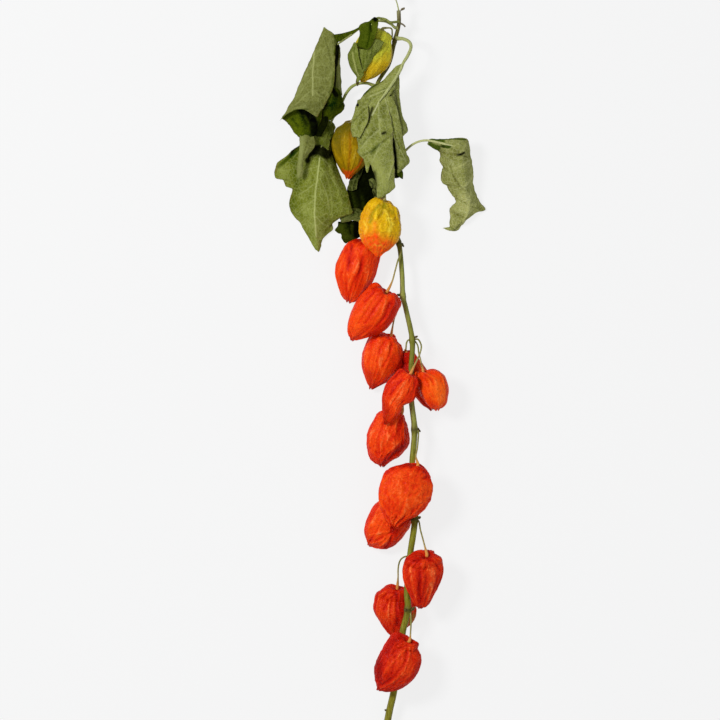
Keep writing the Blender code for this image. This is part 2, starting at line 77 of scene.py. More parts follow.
def srgb(red: float, green: float, blue: float) -> tuple[float, float, float, float]:
    """Linear colour with full alpha of an 8-bit screen colour."""
    part = [value / 255 for value in (red, green, blue)]
    return (*(v / 12.92 if v < 0.04 else ((v + 0.055) / 1.055) ** 2.4 for v in part), 1.0)


def ramp_step(values: np.ndarray, low: float, high: float) -> np.ndarray:
    """Smooth step from 0 at low to 1 at high."""
    share = np.clip((values - low) / (high - low), 0, 1)
    return share * share * (3 - 2 * share)


def bell(values: np.ndarray, width: float) -> np.ndarray:
    """Soft hump of height 1 at 0, which has faded to about a third at the width."""
    return np.exp(-(values / width) ** 2)


def smooth(points: np.ndarray, places: np.ndarray) -> np.ndarray:
    """Points on the smooth curve through evenly numbered points.

    Args:
        points: Values at the whole numbers, first axis.
        places: Fractional indices at which to read the curve.

    Returns:
        Values of the curve, one for each place.
    """
    last = len(points) - 1
    places = np.clip(places, 0, last)
    index = np.minimum(places.astype(int), last - 1)
    t = (places - index).reshape(places.shape + (1,) * (points.ndim - 1))
    knots = np.concatenate([2 * points[:1] - points[1:2], points, 2 * points[-1:] - points[-2:-1]])
    p0, p1, p2, p3 = (knots[index + step] for step in range(4))
    return 0.5 * (2 * p1 + (p2 - p0) * t + (2 * p0 - 5 * p1 + 4 * p2 - p3) * t ** 2
                  + (3 * p1 - p0 - 3 * p2 + p3) * t ** 3)


def even_line(points: np.ndarray, count: int) -> np.ndarray:
    """Points at even distances along the smooth curve through the given points.

    Args:
        points: Points that the curve runs through.
        count: Number of points wanted.

    Returns:
        The points along the curve.
    """
    fine = smooth(points, np.linspace(0, len(points) - 1, 24 * (len(points) - 1) + 1))
    reach = np.concatenate([[0], np.cumsum(np.linalg.norm(np.diff(fine, axis=0), axis=1))])
    wanted = np.linspace(0, reach[-1], count)
    return np.stack([np.interp(wanted, reach, fine[:, axis]) for axis in range(3)], axis=1)


def unit(vectors: np.ndarray) -> np.ndarray:
    """Vectors of length 1 in the same directions, or 0 where there is none."""
    return vectors / np.maximum(np.linalg.norm(vectors, axis=-1, keepdims=True), 1e-9)


def brush(points: np.ndarray, line: tuple, reach: float) -> np.ndarray:
    """Strength of a soft brush drawn along a line in plan.

    Args:
        points: Points of a surface, last axis x, y, z.
        line: Points (x, y) that the brush passes.
        reach: Distance at which the brush has faded to about a third.

    Returns:
        Strength at every point, 0 to 1.
    """
    place = points[..., :2]
    nearest = np.full(place.shape[:-1], 1e9)
    stops = [np.array(stop, float) for stop in line]
    for start, end in zip(stops, stops[1:] or stops):
        run = end - start
        share = np.clip(((place - start) @ run) / max(run @ run, 1e-9), 0, 1)
        away = place - start - share[..., None] * run
        nearest = np.minimum(nearest, np.linalg.norm(away, axis=-1))
    return bell(nearest, reach)


class Noise:
    """Smooth random values in space, the same on every run; numbers added to places pick other parts."""

    def __init__(self, seed: int) -> None:
        """Draw the random directions of the lattice.

        Args:
            seed: Number that picks the pattern.
        """
        draw = np.random.default_rng(seed)
        self.order = np.tile(draw.permutation(256), 2)
        self.slopes = unit(draw.normal(size=(256, 3)))

    def at(self, points: np.ndarray) -> np.ndarray:
        """Values of the noise, with a wavelength of about 2.

        Args:
            points: Places, last axis x, y, z.

        Returns:
            Values of about -1 to 1.
        """
        cell = np.floor(points).astype(int)
        part = points - cell
        fade = part ** 3 * (part * (part * 6 - 15) + 10)
        total = np.zeros(points.shape[:-1])
        for corner in np.ndindex(2, 2, 2):
            spot = (cell + corner) & 255
            key = self.order[self.order[self.order[spot[..., 0]] + spot[..., 1]] + spot[..., 2]]
            weight = np.prod(np.where(np.array(corner) == 1, fade, 1 - fade), axis=-1)
            total += weight * np.sum(self.slopes[key] * (part - corner), axis=-1)
        return total * 1.5

    def layers(self, points: np.ndarray, count: int = 3) -> np.ndarray:
        """Sum of finer and finer values, about -1 to 1."""
        return sum(self.at(points * 2 ** step + 17 * step) / 2 ** step for step in range(count)) / 1.6

    def folds(self, points: np.ndarray) -> np.ndarray:
        """Sharp crests and soft hollows, about -1 to 1."""
        return 1 - 2.6 * np.abs(self.at(points))


class Space:
    """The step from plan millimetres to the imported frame."""

    def __init__(self) -> None:
        """Take the shift from the stem's own solid."""
        self.shift = np.array(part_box("stem")[0]) - np.array(STEM_CORNER) * MM

    def place(self, points: np.ndarray) -> np.ndarray:
        """Points of the frame, in metres, for plan points in millimetres."""
        return np.asarray(points) * MM + self.shift


class Mark(Enum):
    """What a brush stroke does to a surface."""

    RED = "red"
    OLIVE = "olive"
    # dark stains on the husks; on the leaves mostly near-black painted shadow in deep folds and gaps, with a
    # few dark spots
    DARK = "dark"
    # the leaves' own pale veins and light parts; painted highlights on the husks
    PALE = "pale"
    # a dent, with painted shade along it
    CREASE = "crease"
    # a ridge, with a painted highlight along it
    CREST = "crest"
    # painted shade alone
    SHADE = "shade"
    # painted light alone
    GLOW = "glow"


@dataclass(frozen=True)
class Stroke:
    """One brush stroke on a surface, drawn in plan."""

    mark: Mark
    reach: float
    strength: float
    line: tuple


def groups(size: int, numbers: tuple) -> tuple:
    """Numbers in a row, cut into groups of a size."""
    return tuple(zip(*[iter(numbers)] * size))


def pairs(*numbers: float) -> tuple:
    """Plan points (x, y)."""
    return groups(2, numbers)


def triples(*numbers: float) -> tuple:
    """Points (x, y, z)."""
    return groups(3, numbers)


def quads(*numbers: float) -> tuple:
    """Chords across a husk in plan, each from (x, y) to (x, y)."""
    return groups(4, numbers)


def grid(count: int, *numbers: float) -> tuple:
    """Rows across a sheet, each with a count of points (x, y, z)."""
    return groups(count, triples(*numbers))


def strokes_of(mark: Mark) -> Callable[..., Stroke]:
    """A short call for strokes of one mark: reach, strength, then x and y of each point."""
    return lambda reach, strength, *line: Stroke(mark, reach, strength, pairs(*line))


red, olive, dark, pale, crease, crest, shade, glow = map(strokes_of, Mark)


def add_object(name: str, data: bpy.types.ID) -> bpy.types.Object:
    """Put a new object in the scene.

    Args:
        name: Name of the object.
        data: Its mesh, light or camera.

    Returns:
        The object.
    """
    made = bpy.data.objects.new(name, data)
    bpy.context.collection.objects.link(made)
    return made


class Skin:
    """Closed skins gathered in one mesh, with values for the finish at every point."""

    def __init__(self, name: str) -> None:
        """Start an empty mesh.

        Args:
            name: Name of the finished piece.
        """
        self.name = name
        self.shell = bmesh.new()
        self.verts: list = []
        self.places: list = []
        self.values: dict[str, list] = {pattern: [] for pattern in PATTERNS}

    def keep(self, made: list, spots: tuple, places: np.ndarray, values: dict) -> None:
        """Note where new vertices go and what their values are.

        Args:
            made: New vertices.
            spots: Their rows and their columns.
            places: Places by row and column, plan millimetres.
            values: Values by pattern name, with the same rows and columns.
        """
        self.verts += made
        self.places.append(places[spots])
        for pattern, lists in self.values.items():
            value = np.broadcast_to(values.get(pattern, 0.0), places.shape[:2])
            lists.append(value[spots].astype(float))

    def flip(self, made: list) -> None:
        """Turn the faces round new vertices inside out."""
        bmesh.ops.reverse_faces(self.shell, faces=list({face for vert in made for face in vert.link_faces}))

    def add_round(self, points: np.ndarray, **values: np.ndarray) -> None:
        """Add a skin that closes in a pole at both ends.

        Args:
            points: Places by ring and side; the first and last rings are the poles.
            **values: Values by pattern name, with the same rings and sides.
        """
        rings, sides = points.shape[0] - 1, points.shape[1]
        made = bmesh.ops.create_uvsphere(self.shell, u_segments=sides, v_segments=rings,
                                         radius=1.0)["verts"]
        spots = np.array([vert.co[:] for vert in made])
        ring = np.rint(np.arccos(np.clip(spots[:, 2], -1, 1)) / np.pi * rings).astype(int)
        side = np.rint(np.arctan2(spots[:, 1], spots[:, 0]) / (2 * np.pi) * sides).astype(int) % sides
        side[(ring == 0) | (ring == rings)] = 0
        near = points - points.mean(axis=(0, 1))
        beside = np.roll(near, -1, axis=1)
        a, b, c, d = near[:-1], near[1:], beside[1:], beside[:-1]
        if np.sum(np.cross(a, b) * c) + np.sum(np.cross(a, c) * d) < 0:
            self.flip(made)
        self.keep(made, (ring, side), points, values)

    def add_sheet(self, points: np.ndarray, thickness: float, **values: np.ndarray) -> None:
        """Add a thin sheet with two faces that meet along its edge.

        Args:
            points: Places by row and column.
            thickness: Thickness in millimetres.
            **values: Values by pattern name, with the same rows and columns.
        """
        rows, columns = points.shape[:2]
        normal = unit(np.cross(np.gradient(points, axis=1), np.gradient(points, axis=0)))
        inside = np.zeros((rows, columns, 1))
        inside[1:-1, 1:-1] = thickness / 2
        rims = []
        for side in (1, -1):
            made = bmesh.ops.create_grid(self.shell, x_segments=columns - 1, y_segments=rows - 1,
                                         size=1.0)["verts"]
            spots = np.array([vert.co[:] for vert in made])
            column = np.rint((spots[:, 0] + 1) / 2 * (columns - 1)).astype(int)
            row = np.rint((spots[:, 1] + 1) / 2 * (rows - 1)).astype(int)
            if side < 0:
                self.flip(made)
            self.keep(made, (row, column), points + side * normal * inside, values)
            border = (row == 0) | (row == rows - 1) | (column == 0) | (column == columns - 1)
            rims.append({(row[i], column[i]): made[i] for i in np.flatnonzero(border)})
        bmesh.ops.weld_verts(self.shell, targetmap={rims[1][key]: rims[0][key] for key in rims[1]})

    def finish(self, space: Space, finish: bpy.types.Material, node: str, slot: str) -> bpy.types.Object:
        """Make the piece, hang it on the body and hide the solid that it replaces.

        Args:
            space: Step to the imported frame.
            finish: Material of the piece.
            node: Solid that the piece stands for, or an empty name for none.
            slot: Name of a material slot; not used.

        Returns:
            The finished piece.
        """
        self.shell.verts.index_update()
        alive = np.array([vert.is_valid for vert in self.verts])
        order = np.array([vert.index for vert in self.verts if vert.is_valid])
        mesh = bpy.data.meshes.new(self.name)
        self.shell.to_mesh(mesh)
        self.shell.free()
        sorted_points = np.empty((len(order), 3))
        sorted_points[order] = space.place(np.concatenate(self.places)[alive])
        mesh.vertices.foreach_set("co", sorted_points.ravel())
        for pattern, lists in self.values.items():
            numbers = np.empty(len(order))
            numbers[order] = np.concatenate(lists)[alive]
            if np.any(numbers):
                mesh.attributes.new(pattern, "FLOAT", "POINT").data.foreach_set("value", numbers)
        mesh.materials.append(finish)
        mesh.shade_smooth()
        mesh.update()
        piece = add_object(self.name, mesh)
        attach(piece, BODY)
        if node:
            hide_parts(node)
        LOG.info("%s: %d faces", self.name, len(mesh.polygons))
        return piece


def tube_points(line: np.ndarray, radii: np.ndarray, sides: int, bevel: float = 0.3) -> np.ndarray:
    """Rings round a line, closed by a flat end at both ends, with a small bevel at the first.

    Args:
        line: Points of the centre line.
        radii: Radius at each point, or at each point and side.
        sides: Number of sides.
        bevel: How far the first ring is pushed in, millimetres.

    Returns:
        Places by ring and side.
    """
    along = unit(np.gradient(line, axis=0))
    across = [unit(np.cross(along[0], (0.3, 0.2, 1.0)))]
    for step in along[1:]:
        across.append(unit(across[-1] - step * (across[-1] @ step)))
    first = np.array(across)[:, None]
    second = np.cross(along, across)[:, None]
    angle = np.arange(sides) * 2 * np.pi / sides
    spokes = first * np.cos(angle)[None, :, None] + second * np.sin(angle)[None, :, None]
    reach = np.broadcast_to(radii if radii.ndim == 2 else radii[:, None], spokes.shape[:2])
    rings = line[:, None] + spokes * reach[..., None]
    caps = []
    for end in (0, -1):
        middle = np.broadcast_to(line[end], (sides, 3))
        caps.append([middle + (rings[end] - middle) * share for share in CAP_SHARES])
    inset = along[0] * bevel
    return np.concatenate([caps[0], rings[:1] + inset, rings[1:], caps[1][::-1]])


def pad_ends(values: np.ndarray) -> np.ndarray:
    """Values for the extra rings that close a tube."""
    return np.concatenate([values[:1]] * CAPS + [values] + [values[-1:]] * CAPS)


class Graph:
    """A material's nodes, with short calls for those that the finishes use."""

    def __init__(self, name: str) -> None:
        """Start a material.

        Args:
            name: Name of the material.
        """
        self.material = bpy.data.materials.new(name)
        self.material.use_nodes = True
        self.nodes = self.material.node_tree.nodes
        self.links = self.material.node_tree.links
        self.shader = self.nodes["Principled BSDF"]
        self.place = self.node("TexCoord").outputs["Object"]

    def feed(self, sockets: object, values: dict) -> None:
        """Link sockets to other ones, or give them plain values.

        Args:
            sockets: Inputs of a node.
            values: Sockets, numbers or screen colours, by the name or number of the input.
        """
        for key, value in values.items():
            if isinstance(value, Socket):
                self.links.new(value, sockets[key])
            else:
                sockets[key].default_value = srgb(*value) if sockets[key].type == "RGBA" else value

    def node(self, kind: str, values: dict | None = None, **settings: str) -> bpy.types.Node:
        """Add a node.

        Args:
            kind: Kind of node.
            values: What goes in its inputs.
            **settings: Its own settings.

        Returns:
            The node.
        """
        made = self.nodes.new("ShaderNode" + kind)
        for key, value in settings.items():
            setattr(made, key, value)
        self.feed(made.inputs, values or {})
        return made

    def pattern(self, name: str) -> Socket:
        """Value of the piece's own pattern."""
        return self.node("Attribute", attribute_name=name).outputs["Fac"]

    def noise(self, size: float, detail: float = 3, rough: float = 0.55, twist: float = 0,
              stretch: tuple = (1, 1, 1)) -> Socket:
        """Cloudy noise.

        Args:
            size: Size of its features in millimetres.
            detail: Number of finer layers.
            rough: Strength of the finer layers.
            twist: Distortion.
            stretch: Scale along the three axes.

        Returns:
            Value from 0 to 1.
        """
        place = self.node("Mapping", {"Vector": self.place, "Scale": stretch}).outputs["Vector"]
        values = {"Vector": place, "Scale": 1 / (size * MM), "Detail": detail, "Roughness": rough,
                  "Distortion": twist}
        return self.node("TexNoise", values).outputs["Fac"]

    def net(self, size: float) -> Socket:
        """Distance to the edges of a net of cells of a size in millimetres."""
        values = {"Vector": self.place, "Scale": 1 / (size * MM)}
        return self.node("TexVoronoi", values, feature="DISTANCE_TO_EDGE").outputs["Distance"]

    def maths(self, kind: str, first: object, second: object = 0.0) -> Socket:
        """Result of a sum on two values."""
        return self.node("Math", {0: first, 1: second}, operation=kind).outputs[0]

    def plus(self, first: object, second: object) -> Socket:
        """Sum of two values."""
        return self.maths("ADD", first, second)

    def times(self, first: object, second: object) -> Socket:
        """Product of two values."""
        return self.maths("MULTIPLY", first, second)

    def swing(self, value: object, amount: float) -> Socket:
        """Value about 0, from a noise of 0 to 1."""
        return self.times(self.maths("SUBTRACT", value, 0.5), amount)

    def spread(self, value: object, low: float, high: float, out_low: float = 0.0,
               out_high: float = 1.0) -> Socket:
        """Value read off a straight line between two points, held at its ends."""
        return self.node("MapRange", dict(enumerate((value, low, high, out_low, out_high)))).outputs["Result"]

    def coat(self, colour: object, *coats: tuple) -> Socket:
        """Colour with coats of other colours over it.

        Args:
            colour: Colour underneath.
            *coats: Share and colour of each coat, in order.

        Returns:
            The colour that shows.
        """
        for share, over in coats:
            colour = self.node("Mix", {0: share, 6: colour, 7: over}, data_type="RGBA").outputs[2]
        return colour

    def ramp(self, value: object, stops: tuple) -> Socket:
        """Colour read off a line of stops.

        Args:
            value: Where on the line it is read.
            stops: Place and screen colour of each stop.

        Returns:
            The colour.
        """
        node = self.node("ValToRGB", {"Fac": value})
        elements = node.color_ramp.elements
        while len(elements) < len(stops):
            elements.new(0.5)
        for element, (place, colour) in zip(elements, stops):
            element.position = place
            element.color = srgb(*colour)
        return node.outputs["Color"]

    def bump(self, height: object, depth: float) -> None:
        """Small relief of a depth in millimetres."""
        node = self.node("Bump", {"Strength": 1.0, "Distance": depth * MM, "Height": height})
        self.feed(self.shader.inputs, {"Normal": node.outputs["Normal"]})

    def done(self, colour: object, roughness: object, specular: float = 0.35) -> bpy.types.Material:
        """The material, once its colour and roughness are known."""
        self.feed(self.shader.inputs, {"Base Color": colour, "Roughness": roughness,
                                       "Specular IOR Level": specular})
        return self.material


@dataclass(frozen=True)
class HuskFinish:
    """Papery husk: painted shade in the hollows, painted highlights on the ridges, stains and a darker tip.
    """

    # Stops of the tone ramp, from shaded to lit paper: the tone carries painted shade and painted light as
    # well as the paper's own mottling; deep is also the colour of dark stains
    deep: tuple
    dark: tuple
    middle: tuple
    light: tuple
    tip: tuple
    red: tuple = (196, 36, 6)
    olive: tuple = (118, 112, 14)
    # pale: painted highlight, at the top of the tone ramp and under the pale strokes
    pale: tuple = (252, 124, 66)
    tip_start: float = 0.9
    gloss: float = 0.07

    def make(self, name: str) -> bpy.types.Material:
        """Make the material of one husk.

        Args:
            name: Name of the material.

        Returns:
            The material.
        """
        graph = Graph(name)
        mottle = graph.noise(4.0, 4, 0.6, 0.6)
        grain = graph.noise(1.5, 2, 0.6)
        # Tone from the relief pattern, which carries painted shade in the hollows and painted light on the
        # crests and upturned faces, with random mottle and grain
        tone = graph.plus(graph.times(graph.pattern("relief"), 0.86), graph.times(mottle, 0.34))
        tone = graph.plus(graph.maths("SUBTRACT", tone, 0.07), graph.swing(grain, 0.2))
        colour = graph.ramp(tone, ((0.12, self.deep), (0.34, self.dark), (0.56, self.middle),
                                   (0.8, self.light), (1.0, self.pale)))
        along = graph.plus(graph.pattern("along"), graph.swing(mottle, 0.16))
        colour = graph.coat(colour, (graph.spread(along, self.tip_start, 1.0), self.tip))
        # red, olive and dark are the paper's own stains; pale paints highlights
        stains = {"red": self.red, "olive": self.olive, "dark": self.deep, "pale": self.pale}
        for pattern, stain in stains.items():
            patchy = graph.times(graph.pattern(pattern), graph.spread(mottle, 0.3, 0.6, 0.75, 1.0))
            colour = graph.coat(colour, (patchy, stain))
        # Light lines of the vein net, and darker lines along the bump's fine folds: painted shade
        net = graph.spread(graph.net(4.2), 0.0, 0.1, 1.0, 0.0)
        fold = graph.maths("SUBTRACT", graph.noise(6.0, 2, 0.5, 1.2), 0.5)
        fold = graph.spread(graph.maths("ABSOLUTE", fold), 0.0, 0.045)
        colour = graph.coat(colour, (graph.times(net, 0.14), self.light),
                            (graph.spread(fold, 0.0, 0.7, 0.42, 0.0), self.dark))
        relief = graph.plus(graph.times(net, 0.35), graph.times(fold, 0.6))
        graph.bump(graph.plus(relief, graph.times(grain, 0.35)), 0.4)
        return graph.done(colour, graph.spread(mottle, 0.3, 0.7, 0.3, 0.44), self.gloss)


@dataclass(frozen=True)
class LeafFinish:
    """Wilted leaf: dull pale underside, dark upper side, light veins and near-black painted shadow in deep
    folds and gaps.
    """

    # Stops of the underside's tone ramp; the tone carries painted shade and painted light from the leaf's
    # folds and strokes
    shade: tuple
    middle: tuple
    light: tuple
    upper_dark: tuple = (26, 48, 6)
    upper_light: tuple = (80, 92, 12)
    vein: tuple = (164, 168, 100)
    # black: painted shadow in deep folds and gaps, and a few dark spots
    black: tuple = (4, 4, 4)
    dry: tuple = (104, 88, 38)
    gloss: float = 0.0

    def make(self, name: str) -> bpy.types.Material:
        """Make the material of one leaf.

        Args:
            name: Name of the material.

        Returns:
            The material.
        """
        graph = Graph(name)
        mottle = graph.noise(6.0, 4, 0.6, 0.5)
        grain = graph.noise(1.7, 3, 0.7)
        speck = graph.spread(graph.noise(2.2, 2, 0.5), 0.62, 0.7)
        net = graph.spread(graph.net(5.0), 0.0, 0.12, 1.0, 0.0)
        # Tone from the relief pattern, which carries painted shade and painted light, with random mottle and
        # grain
        tone = graph.plus(graph.times(graph.pattern("relief"), 0.6), graph.times(mottle, 0.5))
        tone = graph.plus(tone, graph.swing(grain, 0.75))
        under = graph.ramp(tone, ((0.2, self.shade), (0.54, self.middle), (0.86, self.light)))
        under = graph.coat(under, (graph.times(net, 0.22), self.vein), (graph.times(speck, 0.5), self.shade))
        upper = graph.ramp(tone, ((0.3, self.upper_dark), (0.75, self.upper_light)))
        # Near-black where the dark pattern is: painted shadow in deep folds and gaps, and a few dark spots
        painted_shadow_and_spots = graph.times(graph.pattern("dark"), graph.spread(mottle, 0.3, 0.6, 0.85, 1.0))
        colour = graph.coat(under, (graph.spread(graph.pattern("olive"), 0.3, 0.7), upper),
                            (graph.times(graph.pattern("vein"), 0.8), self.vein),
                            (graph.pattern("pale"), self.light), (graph.pattern("red"), self.dry),
                            (painted_shadow_and_spots, self.black))
        relief = graph.plus(grain, graph.times(mottle, 1.4))
        graph.bump(graph.plus(relief, graph.times(net, 0.5)), 0.7)
        return graph.done(colour, graph.spread(mottle, 0.3, 0.7, 0.5, 0.65), self.gloss)


SAGE = LeafFinish((82, 86, 34), (112, 116, 56), (138, 144, 84), vein=(170, 174, 112),
                  upper_dark=(8, 32, 6), upper_light=(84, 96, 12))
MOSS = LeafFinish((72, 84, 10), (112, 120, 40), (142, 150, 74), vein=(188, 194, 124))
FERN = LeafFinish((88, 94, 29), (128, 134, 64), (152, 157, 85), vein=(208, 212, 156), dry=(118, 108, 84))
STRAW = LeafFinish((104, 106, 44), (138, 142, 76), (168, 170, 104), vein=(224, 226, 170),
                   upper_dark=(34, 58, 12), upper_light=(88, 104, 30))
# Darker leaf colours for the leaf that lies under the others: painted shade over its own dark green
NIGHT = LeafFinish((44, 50, 14), (76, 84, 34), (124, 132, 72),
                   upper_dark=(12, 24, 2), upper_light=(56, 66, 12), black=(2, 2, 2))
HOLLY = LeafFinish((78, 88, 18), (104, 114, 44), (132, 140, 70),
                   upper_dark=(44, 60, 4), upper_light=(84, 96, 20))


@dataclass(frozen=True)
class StemFinish:
    """Dried green stem: fine grain along it, brown joints, scars, a pale cut, and painted shade on its flanks
    and between a bud's scales.
    """

    stops: tuple
    light: tuple = (154, 160, 78)
    brown: tuple = (78, 66, 22)
    scar: tuple = (38, 32, 12)
    pale: tuple = (196, 186, 120)
    orange: tuple = (230, 140, 58)

    def make(self, name: str) -> bpy.types.Material:
        """Make the material of the stem or of a stalk.

        Args:
            name: Name of the material.

        Returns:
            The material.
        """
        graph = Graph(name)
        grain = graph.noise(1.3, 3, 0.6, 0.2, (1, 0.08, 1))
        mottle = graph.noise(7.0, 3, 0.6, 0.3, (1, 0.35, 1))
        colour = graph.coat(graph.ramp(graph.pattern("along"), self.stops),
                            (graph.spread(grain, 0.5, 0.7, 0.0, 0.5), self.light),
                            (graph.spread(grain, 0.32, 0.48, 0.6, 0.0), self.brown),
                            (graph.spread(mottle, 0.5, 0.75, 0.0, 0.4), self.brown),
                            # olive browns the joints and paints shade on the stem's flanks and between a
                            # bud's scales
                            (graph.pattern("red"), self.orange), (graph.pattern("olive"), self.brown),
                            (graph.pattern("pale"), self.pale), (graph.pattern("dark"), self.scar))
        graph.bump(grain, 0.35)
        return graph.done(colour, graph.spread(grain, 0.3, 0.7, 0.4, 0.55), 0.12)


@dataclass(frozen=True)
class Lantern:
    """One papery husk, seen in plan by its crown, the chords across it and its tip."""

    name: str
    finish: HuskFinish
    crown: tuple
    chords: tuple               # from crown to tip
    tip: tuple
    heights: tuple              # of the middle at the first chord and at the tip
    depth: float                # half of the thickness where it is widest
    dome: float                 # length of the shoulder above the first chord
    nod: float = 12.0           # degrees that the crown is tipped
    lean: float = 0.0           # degrees that the chords are tipped
    turn: float = 0.0           # degrees that the ribs are turned
    rests: bool = False         # lies on the table
    route: tuple = ()           # points that its stalk passes
    crinkle: float = 1.0        # height of the long folds, millimetres
    dents: float = 0.35         # height of the small hammered dents
    puff: float = 1.4           # bulge between the ribs
    lobe: float = 1.2           # bulge of the shoulders at the main ribs
    pit: float = 4.5            # depth of the hollow in the crown
    young: bool = False         # still green at the stalk
    teeth: tuple = (1, 1, 1, 1, 1)      # size of each tooth at the tip
    strokes: tuple = ()
    pulls: tuple = ()           # (x, y, push x, push y, reach)


RED_PAPER = HuskFinish((148, 3, 0), (198, 21, 2), (227, 48, 5), (244, 76, 14), (168, 28, 8))
FIRE_PAPER = HuskFinish((164, 7, 0), (208, 28, 2), (231, 54, 6), (245, 82, 15), (176, 32, 10))
GLOW_PAPER = HuskFinish((182, 22, 1), (222, 46, 3), (243, 72, 8), (254, 106, 24), (205, 56, 8))
DEEP_PAPER = HuskFinish((132, 2, 0), (179, 12, 1), (207, 35, 4), (230, 64, 14), (160, 16, 4))
OCHRE_PAPER = HuskFinish((90, 72, 0), (120, 96, 2), (148, 116, 2), (176, 140, 10), (206, 34, 12),
                         red=(208, 66, 12), olive=(92, 84, 4), pale=(206, 176, 62),
                         tip_start=0.88, gloss=0.06)
LIME_PAPER = HuskFinish((138, 112, 4), (166, 136, 8), (194, 158, 14), (220, 186, 40), (186, 140, 30),
                        red=(206, 130, 34), olive=(184, 188, 54), pale=(236, 212, 90),
                        tip_start=0.97, gloss=0.06)
GOLD_PAPER = HuskFinish((166, 116, 0), (196, 146, 0), (220, 168, 0), (240, 196, 12), (232, 48, 4),
                        red=(248, 70, 4), olive=(140, 134, 4), pale=(250, 224, 70),
                        tip_start=0.93, gloss=0.14)
